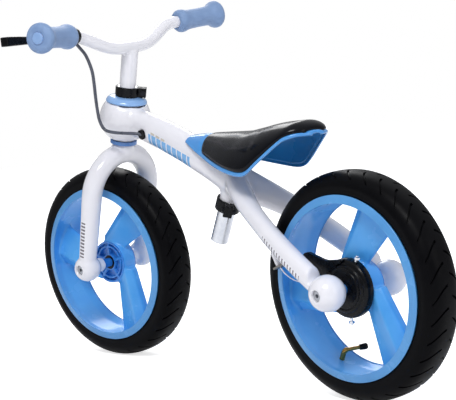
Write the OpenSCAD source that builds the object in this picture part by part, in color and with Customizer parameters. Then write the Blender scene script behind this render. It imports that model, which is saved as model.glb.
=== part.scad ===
// Balance bike for a small child, on two 12-inch air tyres.
// The wheels stand on z = 0 with the rear axle above the origin; +X is forward
// and +Y is the rider's left.

/* [Wheels] */
// Outside diameter of both tyres
tyre_od = 305; // [298:1:312]
// Width of a tyre at its widest
tyre_w = 55.4; // [54:0.2:57]
// Thickness of the tyre's tread
tread_t = 6.5; // [5:0.5:9]
// Thickness of the tyre's side wall
sidewall_t = 3.2; // [2.5:0.1:4]
// Wall of the inner tube
tube_wall = 1.4; // [1:0.1:2]
// Diameter over the rim's flanges
rim_od = 246.6; // [242:0.2:250]
// Width over the rim's flanges
rim_w = 57.6; // [57:0.2:60]
// Width over the rim's inner lips
lip_w = 63; // [61:0.2:66]
// Radial height of the lip ring on each side
lip_h = 11.3; // [9:0.1:13]
// Radial height of the flange that holds the bead
flange_h = 3.5; // [3:0.1:4.5]
// Thickness of the rim's barrel
barrel_t = 2.6; // [2:0.1:4]
// Diameter of the hub barrel
hub_od = 68.8; // [64:0.4:74]
// Length of the hub barrel
hub_len = 27; // [25:0.5:30]
// Wall of the hub barrel
hub_wall = 4; // [3:0.5:6]
// Width of a spoke at the hub
spoke_w_in = 36; // [30:1:42]
// Width of a spoke at the rim
spoke_w_out = 68; // [58:1:74]
// Sideways shift of each spoke, which makes the swirl
spoke_shift = 23; // [18:1:26]
// Thickness of a spoke along its ridge
spoke_t = 30; // [24:1:34]
// Thickness of a spoke's leading edge
spoke_edge = 11; // [8:0.5:14]
// Outside diameter of a wheel bearing
bearing_od = 22; // [19:1:26]
// Width of a wheel bearing
bearing_w = 7; // [6:0.5:8]
// Diameter of both axles
axle_d = 8; // [8:0.5:10]
// Diameter of a valve stem
valve_d = 7; // [6:0.2:8]

/* [Frame] */
// Distance between the two axles
wheelbase = 539; // [530:1:560]
// Lean of the steering axis from upright, in degrees
rake = 15.5; // [14:0.5:17]
// Distance from the front axle up the steering axis to the middle of the head
axle_drop = 239; // [237:1:246]
// Diameter of the round head shell
head_od = 80; // [76:1:84]
// Wall of the head shell
head_wall = 2.8; // [2:0.2:4]
// Height of the main tube's section where it meets the head
beam_h_front = 44; // [40:1:48]
// Height of the main tube's section where it splits
beam_h_rear = 49; // [46:1:50]
// Width of the main tube where it meets the head
beam_w = 38; // [34:1:42]
// Width of the main tube where it splits
beam_w_rear = 46; // [45:1:50]
// Wall of the frame's tubes
frame_wall = 2.2; // [1.6:0.2:3]
// Distance ahead of the rear axle at which the main tube splits
split_x = 225; // [222:1:230]
// Height of the split above the rear axle
split_h = 134.5; // [132:0.5:137]
// Height of an arm's section at the axle
arm_h = 31; // [28:1:34]
// Width of an arm's section at the axle
arm_w = 28; // [26:1:30]
// Distance from the middle plane to the middle of a rear end
rear_end_y = 59; // [58:0.5:62]
// Diameter of a ball-shaped rear end
rear_end_d = 49; // [44:1:52]

/* [Fork] */
// Turn of the fork to the left as the bike stands, in degrees
steer = 7.6; // [0:0.1:15]
// Distance from the middle plane to the middle of a fork leg
fork_half = 61; // [59:0.5:64]
// Diameter of a leg at the shoulder
leg_d_top = 32; // [28:1:34]
// Diameter of a leg at its lower end
leg_d_end = 27; // [24:1:28]
// Wall of the fork's legs
leg_wall = 2.2; // [1.6:0.2:3]
// Diameter of a ball-shaped fork end
fork_end_d = 42; // [38:1:46]
// Distance below the head's middle at which the legs meet
crown_drop = 58; // [56:1:62]
// Outside diameter of the steerer tube
steerer_d = 30; // [29:0.5:32]
// Outside diameter of the blue dust cap
cap_d = 64; // [58:1:66]
// Outside diameter of the black stem collar
collar_d = 37; // [36:0.5:42]
// Height of the stem collar
collar_h = 15; // [12:1:18]
// Direction of the collar's ear, in degrees from straight ahead
collar_turn = 222; // [180:1:260]

/* [Handlebar] */
// Turn of the handlebar in its collar, in degrees
bar_turn = 4.7; // [0:0.1:8]
// Diameter of the bar
bar_d = 19; // [18:0.5:20]
// Wall of the bar and the stem
bar_wall = 1.8; // [1.4:0.1:2.5]
// Diameter of the stem
stem_d = 25.4; // [24.4:0.2:26]
// Length of the stem below the head's middle
stem_down = 34; // [24:1:36]
// Height of the bar above the head's middle
bar_rise = 111.5; // [105:0.5:120]
// Half width of the straight stretch in the middle of the bar
bar_mid = 42; // [38:1:50]
// Distance from the middle to the bend before the grip
grip_bend_y = 104; // [100:1:110]
// How much higher than the middle that bend is
grip_bend_rise = 24; // [18:1:30]
// How far forward of the middle that bend is
grip_bend_fore = 16; // [10:1:20]
// Length of the bar from that bend to its end
grip_run = 109; // [106:1:114]
// Backward sweep of the grips, in degrees
grip_sweep = 12; // [6:1:16]
// Upward slope of the grips, in degrees
grip_slope = 6; // [2:1:9]
// Length of a grip
grip_len = 88; // [84:1:90]
// Diameter of a grip's neck
grip_d = 31; // [28:0.5:34]
// Diameter of a grip's inner bulge
grip_bulge_d = 37; // [34:0.5:40]
// Diameter of a grip's outer flange
grip_flange_d = 44; // [42:0.5:50]

/* [Seat] */
// Lean of the seat post from upright, in degrees
post_lean = 26.2; // [24:0.2:28]
// Distance ahead of the rear axle of the post's lower end
post_x = 273.6; // [270:0.2:277]
// Height of the post's lower end
post_h = 46.5; // [42:0.5:52]
// Diameter of the seat post
post_d = 25.4; // [25:0.2:27.2]
// Wall of the seat post
post_wall = 2; // [1.5:0.1:3]
// Length of the post below the seat clamp at the lowest seat
post_show = 51; // [45:1:56]
// Length of the post, from its lower end to the seat bracket
post_len = 148; // [144:1:150]
// Wall of the seat tube in the frame
seat_tube_wall = 2.3; // [1.8:0.1:3]
// Length of the seat tube
seat_tube_len = 72; // [68:1:74]
// Height of the seat clamp
clamp_h = 18; // [16:1:22]
// Wall of the seat clamp
clamp_wall = 3; // [2.5:0.1:4]
// Thickness of the seat shell
shell_t = 3; // [2.5:0.1:3.6]
// Thickness of the seat pad
pad_t = 5; // [4:0.2:7]
// Half width of the seat at its widest
seat_half_w = 58; // [54:1:62]
// Height of the seat's ridge in front
seat_h = 203; // [201:0.5:207]
// How much higher than that the back of the ridge is
seat_kick = 15; // [10:0.5:20]

/* [Brake] */
// Outside diameter of the brake cover
cover_d = 79; // [76:1:86]
// Thickness of the brake cover's plate
cover_t = 3; // [2.5:0.1:4]
// Distance from the middle plane to the cover's outer face
cover_y = 30; // [29.5:0.1:31]
// Diameter of the brake drum
drum_d = 62; // [58:1:66]
// Thickness of the brake band with its lining
band_t = 3.2; // [2.4:0.1:3.6]
// Thickness of the brake arm
brake_arm_t = 3; // [2.5:0.1:3.5]
// Downward tilt of the hand brake about the bar, in degrees
lever_tilt = 16; // [10:1:24]
// Distance from the bar to the lever's pin
lever_reach = 25; // [23:0.5:28]
// Diameter of the lever's pin
lever_pin_d = 5; // [4:0.2:6]
// Diameter of the cable's casing
cable_d = 5; // [4.6:0.1:5.4]

/* [Fit] */
// Gap between a turning shaft and its bore, on the radius
run_gap = 0.05; // [0.02:0.01:0.08]
// Gap between parts that move past each other
move_gap = 0.4; // [0.3:0.05:0.6]
// Gap round parts that are pushed together
seat_gap = 0.05; // [0.02:0.01:0.1]

/* [Hidden] */
$fn = 96;

white = "#f5f5f8";
light_blue = "#74a9ea";
blue = "#3f8fe0";
black = "#17171a";
steel = "#b9bcc2";
brass = "#b08a4a";

wheel_r = tyre_od / 2;
rear_hub = [0, 0, wheel_r];
seat_ridge_z = wheel_r + seat_h;
front_hub = [wheelbase, 0, wheel_r];
axis_up = [-sin(rake), 0, cos(rake)];
head_pos = front_hub + axle_drop * axis_up;
front_phase = 144;
rear_phase = 127;
front_valve_turn = 48;
rear_valve_turn = 168;

// ---- curves and swept tubes -------------------------------------------

function lerp(a, b, t) = a + (b - a) * t;
function unit(v) = v / norm(v);

// A point between b and c on the smooth curve through a, b, c, d.
function between(a, b, c, d, t) =
    0.5 * (2 * b + (c - a) * t + (2 * a - 5 * b + 4 * c - d) * t * t
        + (3 * b - a - 3 * c + d) * t * t * t);

// A smooth path through all the points of p, with n steps in each span.
function smooth_path(p, n) = concat(
    [for (i = [0 : len(p) - 2]) for (k = [0 : n - 1])
        between(i == 0 ? 2 * p[0] - p[1] : p[i - 1], p[i], p[i + 1],
            i == len(p) - 2 ? 2 * p[i + 1] - p[i] : p[i + 2], k / n)],
    [p[len(p) - 1]]);

// Three-point rounding of one corner, as a list of n + 1 points.
function corner(a, b, c, cut, n) =
    let (start = b + cut * unit(a - b), end = b + cut * unit(c - b))
    [for (k = [0 : n]) let (t = k / n)
        (1 - t) * (1 - t) * start + 2 * t * (1 - t) * b + t * t * end];

// The same path, run on at both ends.
function longer(p, by) = let (last = len(p) - 1)
    [for (i = [0 : last]) i == 0 ? p[0] - by * unit(p[1] - p[0]) :
        i == last ? p[last] + by * unit(p[last] - p[last - 1]) : p[i]];

function path_dir(p, i) =
    unit(p[min(i + 1, len(p) - 1)] - p[max(i - 1, 0)]);

// Side vectors that follow a path without twisting.
function path_sides(p, i = 0, last = [0, 0, 0]) =
    i == len(p) ? [] :
    let (d = path_dir(p, i),
        first = abs(d[2]) < 0.8 ? [0, 0, 1] : [1, 0, 0],
        guess = i == 0 ? first : last,
        side = unit(guess - (guess * d) * d))
    concat([side], path_sides(p, i + 1, side));

module skin(rings) {
    count = len(rings);
    sides = len(rings[0]);
    polyhedron(
        points = [for (ring = rings) each ring],
        faces = concat(
            [[for (k = [0 : sides - 1]) k]],
            [[for (k = [sides - 1 : -1 : 0]) (count - 1) * sides + k]],
            [for (i = [0 : count - 2]) for (k = [0 : sides - 1])
                let (j = (k + 1) % sides, a = i * sides, b = a + sides)
                each [[a + k, b + k, b + j], [a + k, b + j, a + j]]]));
}

// Round tube of radius r along a path.
module path_tube(path, r, sides) {
    across = path_sides(path);
    skin([for (i = [0 : len(path) - 1])
        let (d = path_dir(path, i), u = across[i], v = cross(d, u))
        [for (k = [0 : sides - 1])
            path[i] + r * cos(360 * k / sides) * u
                + r * sin(360 * k / sides) * v]]);
}

// ---- places -----------------------------------------------------------

module in_head() {
    translate(head_pos) rotate([0, -rake, 0]) children();
}

module in_fork() {
    in_head() rotate([0, 0, steer]) children();
}

module in_bar() {
    in_fork() rotate([0, 0, bar_turn]) children();
}

// Axle frames: local Z points to the rider's right.
module at_rear_axle() {
    translate(rear_hub) rotate([90, 0, 0]) children();
}

module at_front_axle() {
    in_fork() translate([0, 0, -axle_drop]) rotate([90, 0, 0]) children();
}

// ---- wheels -----------------------------------------------------------

rim_r = rim_od / 2;
seat_r = rim_r - flange_h;
barrel_r = seat_r - barrel_t;
lip_r = rim_r - lip_h;
hub_r = hub_od / 2;
axle_r = axle_d / 2;
bearing_r = bearing_od / 2;
bearing_z = hub_len / 2 - 1 - bearing_w;
bead_z = rim_w / 2 - 2.9;

module ring_of(outer, inner, h) {
    difference() {
        cylinder(r = outer, h = h);
        translate([0, 0, -1]) cylinder(r = inner, h = h + 2);
    }
}

module rim() {
    rotate_extrude($fn = 144) polygon([
        [lip_r, lip_w / 2], [rim_r, rim_w / 2], [rim_r, rim_w / 2 - 2.6],
        [seat_r, bead_z], [seat_r, -bead_z], [rim_r, 2.6 - rim_w / 2],
        [rim_r, -rim_w / 2], [lip_r, -lip_w / 2],
        [lip_r + 1, 1.5 - lip_w / 2], [barrel_r, -16], [barrel_r, 16],
        [lip_r + 1, lip_w / 2 - 1.5]]);
}

// Section of a spoke at distance s: leading edge, ridge, trailing edge.
function spoke_ring(s, w, t) =
    let (lead = -spoke_shift - w / 2, trail = -spoke_shift + w / 2,
        ridge = lead + 0.28 * w, e = spoke_edge / 2)
    [[s, lead, -e], [s, ridge, -t / 2], [s, trail, -e * 0.5],
        [s, trail, e * 0.5], [s, ridge, t / 2], [s, lead, e]];

module spoke() {
    skin([spoke_ring(-8, spoke_w_in * 0.6, hub_len * 0.8),
        spoke_ring(14, spoke_w_in, hub_len * 0.94),
        spoke_ring(rim_r * 0.68, lerp(spoke_w_in, spoke_w_out, 0.62),
            spoke_t),
        spoke_ring(rim_r, spoke_w_out, spoke_t * 1.15)]);
}

groove_r = hub_r - hub_wall;
groove_w = 3.8;
hub_ring_w = 2.6;
pocket_r = groove_r - groove_w - hub_ring_w;
boss_wall = 2.4;
hub_rib_w = 4.4;
hub_ribs = 5;
pocket_deep = 7;

// The groove and the ring of pockets in one face of the hub.
module hub_pockets() {
    difference() {
        union() {
            ring_of(groove_r, groove_r - groove_w, pocket_deep + 1);
            ring_of(pocket_r, bearing_r + boss_wall, pocket_deep + 1);
        }
        for (k = [0 : hub_ribs - 1]) rotate([0, 0, 360 * k / hub_ribs])
            translate([0, -hub_rib_w / 2, -2])
                cube([hub_r, hub_rib_w, pocket_deep + 4]);
    }
    for (k = [0 : hub_ribs - 1]) rotate([0, 0, 360 * k / hub_ribs])
        translate([pocket_r - 1, 0, 0])
            cylinder(r = 1.5, h = pocket_deep + 1, $fn = 32);
}

module hub_body() {
    difference() {
        translate([0, 0, -hub_len / 2]) cylinder(r = hub_r, h = hub_len);
        for (side = [0, 1]) mirror([0, 0, side]) {
            translate([0, 0, hub_len / 2 - pocket_deep]) hub_pockets();
            translate([0, 0, bearing_z]) cylinder(r = bearing_r, h = 20);
        }
        translate([0, 0, -hub_len]) cylinder(r = bearing_r - 2, h = 2 * hub_len);
    }
}

module wheel(phase, valve_turn) {
    rotate([0, 0, phase]) difference() {
        union() {
            rim();
            intersection() {
                union() for (k = [0 : 2]) rotate([0, 0, 120 * k]) spoke();
                difference() {
                    translate([0, 0, -lip_w / 2])
                        cylinder(r = barrel_r + 0.6, h = lip_w, $fn = 144);
                    translate([0, 0, -lip_w])
                        cylinder(r = hub_r - hub_wall, h = 2 * lip_w);
                }
            }
            hub_body();
        }
        rotate([0, 0, valve_turn]) translate([barrel_r - 10, 0, valve_z])
            rotate([0, 90, 0]) cylinder(r = valve_d / 2 + 0.3, h = 30);
    }
}

section_h = wheel_r - rim_r;

// Radius at a share of the tyre's height over the rim.
function up_wall(share) = rim_r + share * section_h;

module tyre() {
    half = tyre_w / 2;
    inner = half - sidewall_t;
    outside = [[seat_r + 0.2, bead_z - 0.3], [rim_r + 0.4, bead_z + 0.3],
        [up_wall(0.14), half - 0.4], [up_wall(0.31), half],
        [up_wall(0.57), half - 1.4], [up_wall(0.76), half - 4.6],
        [up_wall(0.89), half - 9.6], [up_wall(0.97), half - 16],
        [wheel_r, 5]];
    inside = [[wheel_r - tread_t, half - 16],
        [up_wall(0.61), inner - 5], [up_wall(0.34), inner],
        [up_wall(0.07), inner - 1], [seat_r + 0.2, bead_z - 6]];
    rotate_extrude($fn = 144) polygon(concat(outside,
        [for (k = [len(outside) - 1 : -1 : 0])
            [outside[k][0], -outside[k][1]]],
        [for (k = [len(inside) - 1 : -1 : 0])
            [inside[k][0], -inside[k][1]]],
        inside));
}

// Half height, half width and middle radius of the tyre's hollow.
tube_in = seat_r + 0.3;
tube_out = wheel_r - tread_t - 0.3;
tube_half = tyre_w / 2 - sidewall_t - 0.6;

module tube_outline(inset) {
    half = [[tube_out - inset, tube_half - 15],
        [up_wall(0.58), tube_half - 5.5 - inset],
        [up_wall(0.34), tube_half - inset],
        [up_wall(0.1), tube_half - 1.6 - inset],
        [tube_in + inset, bead_z - 6.8 - inset]];
    polygon(concat(half,
        [for (k = [len(half) - 1 : -1 : 0]) [half[k][0], -half[k][1]]]));
}

module inner_tube() {
    rotate_extrude($fn = 144) difference() {
        tube_outline(0);
        tube_outline(tube_wall);
    }
}

// A bent stem: in through the rim, over to one side, and swung round.
valve_z = 8;
valve_in = 13.5;
valve_bend = 5;
valve_angle = 72;
valve_out = 17;
valve_cap_h = 9;
valve_cap_end = 2.4;
valve_swing = -30;

module at_valve() {
    translate([tube_in - 0.2, 0, valve_z]) rotate([-valve_swing, 0, 0])
        children();
}

// Z runs out along the stem after its bend.
module past_bend() {
    translate([-valve_in, 0, valve_bend]) rotate([0, valve_angle - 90, 0])
        translate([-valve_bend, 0, 0]) children();
}

module valve_stem() {
    r = valve_d / 2;
    at_valve() {
        rotate([0, -90, 0]) cylinder(r = r, h = valve_in);
        translate([-valve_in, 0, valve_bend]) rotate([-90, 0, 0])
            rotate([0, 0, 90]) rotate_extrude(angle = valve_angle)
                translate([valve_bend, 0]) circle(r = r);
        past_bend() cylinder(r = r * 0.75, h = valve_out);
    }
}

module valve_cap() {
    r = valve_d / 2;
    at_valve() past_bend() translate([0, 0, valve_out]) {
        cylinder(r1 = r + 0.4, r2 = r + 1, h = valve_cap_h);
        translate([0, 0, valve_cap_h])
            cylinder(r1 = r + 1, r2 = r - 0.4, h = valve_cap_end);
    }
}

module wheel_bearings() {
    for (side = [0, 1]) mirror([0, 0, side])
        translate([0, 0, bearing_z])
            ring_of(bearing_r, axle_r + run_gap, bearing_w);
}

module front_wheel() {
    color(blue) at_front_axle() wheel(front_phase, front_valve_turn);
}

module front_tyre() {
    color(black) at_front_axle() tyre();
}

module front_inner_tube() {
    color(black) at_front_axle() inner_tube();
}

module front_valve() {
    color(brass) at_front_axle() rotate([0, 0, front_phase + front_valve_turn]) {
        valve_stem();
        valve_cap();
    }
}

module front_bearings() {
    color(steel) at_front_axle() wheel_bearings();
}

module rear_wheel() {
    color(blue) at_rear_axle() wheel(rear_phase, rear_valve_turn);
}

module rear_tyre() {
    color(black) at_rear_axle() tyre();
}

module rear_inner_tube() {
    color(black) at_rear_axle() inner_tube();
}

module rear_valve() {
    color(brass) at_rear_axle() rotate([0, 0, rear_phase + rear_valve_turn])
        valve_stem();
}

module rear_valve_cap() {
    color(black) at_rear_axle() rotate([0, 0, rear_phase + rear_valve_turn])
        valve_cap();
}

module rear_bearings() {
    color(steel) at_rear_axle() wheel_bearings();
}

// ---- axles ------------------------------------------------------------

bolt_head_r = 6.5;
bolt_head_h = 6;
bolt_r = 2.6;
spacer_r = 7;

// How far out the axle reaches, given an end ball.
function axle_reach(end_y, end_r) = end_y + end_r - 12;

module axle(reach) {
    difference() {
        translate([0, 0, -reach]) cylinder(r = axle_r, h = 2 * reach);
        for (side = [0, 1]) mirror([0, 0, side])
            translate([0, 0, reach - 14]) cylinder(r = bolt_r, h = 20);
    }
}

// One screw in each end of an axle, with a socket in its head.
module axle_bolts(reach) {
    for (side = [0, 1]) mirror([0, 0, side]) difference() {
        union() {
            translate([0, 0, reach - 14]) cylinder(r = bolt_r, h = 14);
            translate([0, 0, reach])
                cylinder(r = bolt_head_r, h = bolt_head_h);
        }
        translate([0, 0, reach + 2]) cylinder(r = 2.9, h = 10, $fn = 6);
    }
}

module spacers(end_inner, far_start, near_start) {
    translate([0, 0, far_start])
        ring_of(spacer_r, axle_r, end_inner - far_start);
    mirror([0, 0, 1]) translate([0, 0, near_start])
        ring_of(spacer_r, axle_r, end_inner - near_start);
}

// A ball end with a flat inner boss, a bore and a pocket for the screw.
module end_ball(ball_r, inner, reach) {
    difference() {
        union() {
            sphere(r = ball_r);
            translate([0, 0, -inner]) cylinder(r = 11, h = inner);
        }
        translate([0, 0, -2 * ball_r]) cylinder(r = axle_r, h = 4 * ball_r);
        translate([0, 0, reach]) cylinder(r = bolt_head_r + 1, h = 30);
    }
}

rear_end_r = rear_end_d / 2;
fork_end_r = fork_end_d / 2;
fork_end_y = fork_half - 1;
end_boss_y = 33;
front_boss_y = 30;
rear_reach = axle_reach(rear_end_y, rear_end_r);
front_reach = axle_reach(fork_end_y, fork_end_r);
spacer_start = bearing_z + bearing_w;

module rear_axle() {
    color(steel) at_rear_axle() axle(rear_reach);
}

module rear_axle_bolts() {
    color(steel) at_rear_axle() axle_bolts(rear_reach);
}

module rear_spacers() {
    color(steel) at_rear_axle() {
        spacers(end_boss_y, spacer_start, spacer_start);
    }
}

module left_rear_end() {
    color(white) at_rear_axle() mirror([0, 0, 1])
        translate([0, 0, rear_end_y])
            end_ball(rear_end_r, rear_end_y - end_boss_y,
                rear_reach - rear_end_y);
}

module right_rear_end() {
    color(white) at_rear_axle() translate([0, 0, rear_end_y])
        end_ball(rear_end_r, rear_end_y - end_boss_y,
            rear_reach - rear_end_y);
}

module front_axle() {
    color(steel) at_front_axle() axle(front_reach);
}

module front_axle_bolts() {
    color(steel) at_front_axle() axle_bolts(front_reach);
}

module front_spacers() {
    color(steel) at_front_axle()
        spacers(front_boss_y, spacer_start, spacer_start);
}

// ---- head and frame tubes ---------------------------------------------

head_r = head_od / 2;
head_top = 25;
head_bottom = -35;
steerer_r = steerer_d / 2;
race_r = steerer_r + 6;
race_h = 8;
low_race_r = steerer_r + 2.6;

module head_ball(r, low, high) {
    intersection() {
        sphere(r = r, $fn = 144);
        translate([0, 0, low]) cylinder(r = r + 1, h = high - low);
    }
}

module head_shell() {
    color(white) in_head() difference() {
        head_ball(head_r, head_bottom, head_top);
        difference() {
            head_ball(head_r - head_wall, head_bottom + 18, head_top + 1);
            translate([0, 0, head_bottom]) cylinder(r = race_r + 2, h = 80);
        }
        translate([0, 0, -60]) cylinder(r = steerer_r + 1, h = 120);
        translate([0, 0, head_top - race_h]) cylinder(r = race_r, h = 20);
        translate([0, 0, head_bottom - 20])
            cylinder(r = low_race_r, h = 20 + race_h);
    }
}

module head_bearings() {
    color(steel) in_head() {
        translate([0, 0, head_top - race_h])
            ring_of(race_r, steerer_r + run_gap, race_h);
        translate([0, 0, head_bottom])
            ring_of(low_race_r, steerer_r + run_gap, race_h);
    }
}

split = [split_x, 0, wheel_r + split_h];
beam_front = head_pos + [-28, 0, -8];
beam_bow = 6.5;
arm_bow = 3;

function beam_mid(t) = lerp(beam_front, split, t)
    + [0, 0, beam_bow * 4 * t * (1 - t)];

// Sections in upright planes, so that the tubes share their cut at the split.
function beam_ring(t, inset) =
    let (c = beam_mid(t),
        b = lerp(beam_h_front * 0.54, beam_h_rear * 0.56, t) - inset,
        a = lerp(beam_w, beam_w_rear, t * t) / 2 - inset)
    [for (k = [0 : 23]) c + [0, -a * cos(15 * k), b * sin(15 * k)]];

arm_spread = 2.5;

function arm_out(t) = rear_end_y * (1 - pow(1 - t, arm_spread));

function arm_ring(t, inset) =
    let (c = [split_x * (1 - t), arm_out(t),
            lerp(split[2], wheel_r, t) + arm_bow * 4 * t * (1 - t)],
        lean = arm_spread * rear_end_y / split_x * pow(1 - t, arm_spread - 1),
        early = min(t / 0.35, 1),
        b = lerp(beam_h_rear * 0.56, arm_h * 0.58, early * (2 - early)) - inset,
        a = lerp(beam_w_rear, arm_w * sqrt(1 + lean * lean), early) / 2 - inset)
    [for (k = [0 : 23])
        let (y = c[1] - a * cos(15 * k))
        [c[0], max(y, 0.05 + inset), c[2] + b * sin(15 * k)]];

arm_steps = [0, 0.05, 0.1, 0.16, 0.22, 0.29, 0.37, 0.5, 0.65, 0.8, 0.9];

module main_tube() {
    color(white) difference() {
        skin([for (t = [0 : 0.25 : 1]) beam_ring(t, 0)]);
        skin([for (t = [-0.01, 0.25, 0.5, 0.75, 1.01])
            beam_ring(t, frame_wall)]);
        in_head() sphere(r = head_r, $fn = 144);
        at_port() cylinder(r = port_r, h = 30, center = true);
        on_post() cylinder(r = seat_tube_r, h = 300);
    }
}

module arm() {
    difference() {
        skin([for (t = arm_steps) arm_ring(t, 0)]);
        skin([for (t = concat([-0.01], [for (t = arm_steps) if (t > 0) t]))
            arm_ring(t == 0.9 ? 0.86 : t, frame_wall)]);
        at_rear_axle() translate([0, 0, -rear_end_y]) sphere(r = rear_end_r);
        on_post() translate([0, 0, -50])
            cylinder(r = seat_tube_r, h = 200);
    }
}

module left_arm() {
    color(white) difference() {
        arm();
        at_sleeve() cylinder(r = sleeve_r + 0.6, h = 24, center = true);
    }
}

module right_arm() {
    color(white) mirror([0, 1, 0]) arm();
}

// ---- seat post and its tube -------------------------------------------

post_r = post_d / 2;
seat_tube_bore = post_r + run_gap;
seat_tube_r = seat_tube_bore + seat_tube_wall;
clamp_r = seat_tube_r + clamp_wall;
clamp_turn = 140;

module on_post() {
    translate(rear_hub + [post_x, 0, post_h]) rotate([0, -post_lean, 0])
        children();
}

module seat_tube() {
    color(white) on_post() translate([0, 0, post_show])
        ring_of(seat_tube_r, seat_tube_bore, seat_tube_len);
}

// A split ring with an ear that a screw pulls together.
module clamp_ring(outer, inner, h, reach, thick) {
    difference() {
        union() {
            cylinder(r = outer, h = h);
            translate([0, -thick / 2, 0]) cube([reach, thick, h]);
        }
        translate([0, 0, -1]) cylinder(r = inner, h = h + 2);
        translate([0, -0.8, -1]) cube([reach + 5, 1.6, h + 2]);
        translate([reach - 5, thick, h / 2]) rotate([90, 0, 0])
            cylinder(r = 2.5 + seat_gap, h = 2 * thick);
    }
}

module clamp_bolt(h, reach, thick) {
    translate([reach - 5, thick / 2, h / 2]) rotate([90, 0, 0])
        cylinder(r = 2.5, h = thick);
    translate([reach - 5, thick / 2 + 4, h / 2]) rotate([90, 0, 0])
        difference() {
            cylinder(r = 4.2, h = 4);
            translate([0, 0, -1]) cylinder(r = 2.2, h = 3.4, $fn = 6);
        }
    translate([reach - 5, -thick / 2, h / 2]) rotate([90, 0, 0])
        cylinder(r = 4.4, h = 3, $fn = 6);
}

module seat_clamp() {
    color(black) on_post() translate([0, 0, post_show])
        rotate([0, 0, clamp_turn])
            clamp_ring(clamp_r, seat_tube_r, clamp_h, clamp_r + 10, 13);
}

module seat_clamp_bolt() {
    color(steel) on_post() translate([0, 0, post_show])
        rotate([0, 0, clamp_turn]) clamp_bolt(clamp_h, clamp_r + 10, 13);
}

// A turned groove marks how far the post may be drawn out.
post_mark = post_show - 1;

module seat_post() {
    color(steel) on_post() difference() {
        ring_of(post_r, post_r - post_wall, post_len);
        translate([0, 0, post_mark])
            ring_of(post_r + 1, post_r - 0.3, 0.6);
    }
}

// ---- seat -------------------------------------------------------------

// Stations along the seat: place, ridge, half width and height of the rim.
seat_tail_x = 47;
seat_nose_x = 306;
rim_low = seat_ridge_z - 54.5;
ridge_back = seat_ridge_z + seat_kick;

seat_stations = [
    [seat_nose_x, seat_ridge_z - 1.5, seat_half_w * 0.34, rim_low + 42],
    [292, seat_ridge_z - 0.5, seat_half_w * 0.40, rim_low + 35],
    [280, seat_ridge_z, seat_half_w * 0.44, rim_low + 29],
    [262, seat_ridge_z, seat_half_w * 0.51, rim_low + 22],
    [239, seat_ridge_z, seat_half_w * 0.65, rim_low + 15],
    [210, seat_ridge_z, seat_half_w * 0.82, rim_low + 8],
    [180, seat_ridge_z + 0.5, seat_half_w * 0.95, rim_low + 2],
    [156, lerp(seat_ridge_z, ridge_back, 0.28), seat_half_w, rim_low - 1],
    [140, lerp(seat_ridge_z, ridge_back, 0.46), seat_half_w, rim_low + 2],
    [124, lerp(seat_ridge_z, ridge_back, 0.66), seat_half_w * 0.96,
        rim_low + 13],
    [104, lerp(seat_ridge_z, ridge_back, 0.84), seat_half_w * 0.86,
        rim_low + 30],
    [84, ridge_back - 1.4, seat_half_w * 0.75, rim_low + 47],
    [68, ridge_back, seat_half_w * 0.6, rim_low + 57],
    [55, ridge_back - 2, seat_half_w * 0.44, rim_low + 59],
    [seat_tail_x, ridge_back - 7, seat_half_w * 0.26, rim_low + 58]
];

arch_step = 10;
pad_cut = 10;
pad_nose_x = 287;
pad_tail_x = 52;

// How deep the pad sits in the shell: nothing on the nose and along the rim.
function pad_depth(x, q) = pad_t * min(1, max(0, (pad_nose_x - x) / 7))
    * min(1, max(0, (q - 0.1) / 0.12));

// One arch across the seat, a given depth under its outer surface.
function arch(s, from, to, under_pad, inset) =
    [for (a = [from : from < to ? arch_step : -arch_step : to])
        let (c = cos(a), q = sin(a),
            deep = inset + (under_pad ? pad_depth(s[0], q) : 0),
            w = s[2] * s[2] / (s[2] + deep), h = s[1] - s[3],
            tall = h * h / (h + deep))
        [s[0], -w * sign(c) * pow(abs(c), 0.85),
            s[3] + tall * pow(max(q, 0), 0.9)]];

module seat_shell() {
    color(light_blue) skin([for (s = seat_stations) concat(
        arch(s, 0, 180, true, 0), arch(s, 180, 0, true, shell_t))]);
}

module seat_pad() {
    padded = [for (s = seat_stations)
        if (s[0] < pad_nose_x - 6 && s[0] > pad_tail_x) s];
    color(black) skin([for (s = padded) concat(
        arch(s, pad_cut, 180 - pad_cut, false, 0),
        arch(s, 180 - pad_cut, pad_cut, true, -0.7))]);
}

socket_gap = 6;
bracket_top = seat_ridge_z - 15.5;
// The shell curves down this far beside its ridge, over the bosses.
boss_drop = 2.3;
bracket_t = 3;
bracket_x = post_x - 93.6;
bracket_l = 62;
bracket_w = 40;
bracket_screw_x = [bracket_x + 8, bracket_x + bracket_l - 8];
bracket_screw_y = [-12, 12];
boss_r = 5;
boss_h = seat_ridge_z - pad_t - shell_t - boss_drop - bracket_top;

module seat_bracket() {
    color(steel) difference() {
        union() {
            translate([bracket_x, -bracket_w / 2, bracket_top - bracket_t])
                cube([bracket_l, bracket_w, bracket_t]);
            intersection() {
                on_post() translate([0, 0, post_show + seat_tube_len + socket_gap])
                    cylinder(r = post_r + 3, h = 60);
                translate([0, -50, 0]) cube([400, 100, bracket_top - 1]);
            }
            for (x = bracket_screw_x) for (y = bracket_screw_y) {
                translate([x, y, bracket_top - bracket_t - 3])
                    cylinder(r = 4, h = 3.1);
                translate([x, y, bracket_top - 0.1])
                    cylinder(r = boss_r, h = boss_h + 0.1);
            }
        }
        on_post() cylinder(r = post_r + seat_gap, h = post_len);
    }
}

// ---- fork -------------------------------------------------------------

leg_r = leg_d_top / 2;
arc_z = -crown_drop - fork_half;
crown_r = 17.5;
crown_top = head_bottom - 6;
collar_z = head_top + 10;
collar_r = collar_d / 2;

module steerer() {
    color(steel) in_fork() translate([0, 0, crown_top])
        ring_of(steerer_r, stem_r + run_gap, collar_z + collar_h - crown_top);
}

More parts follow.
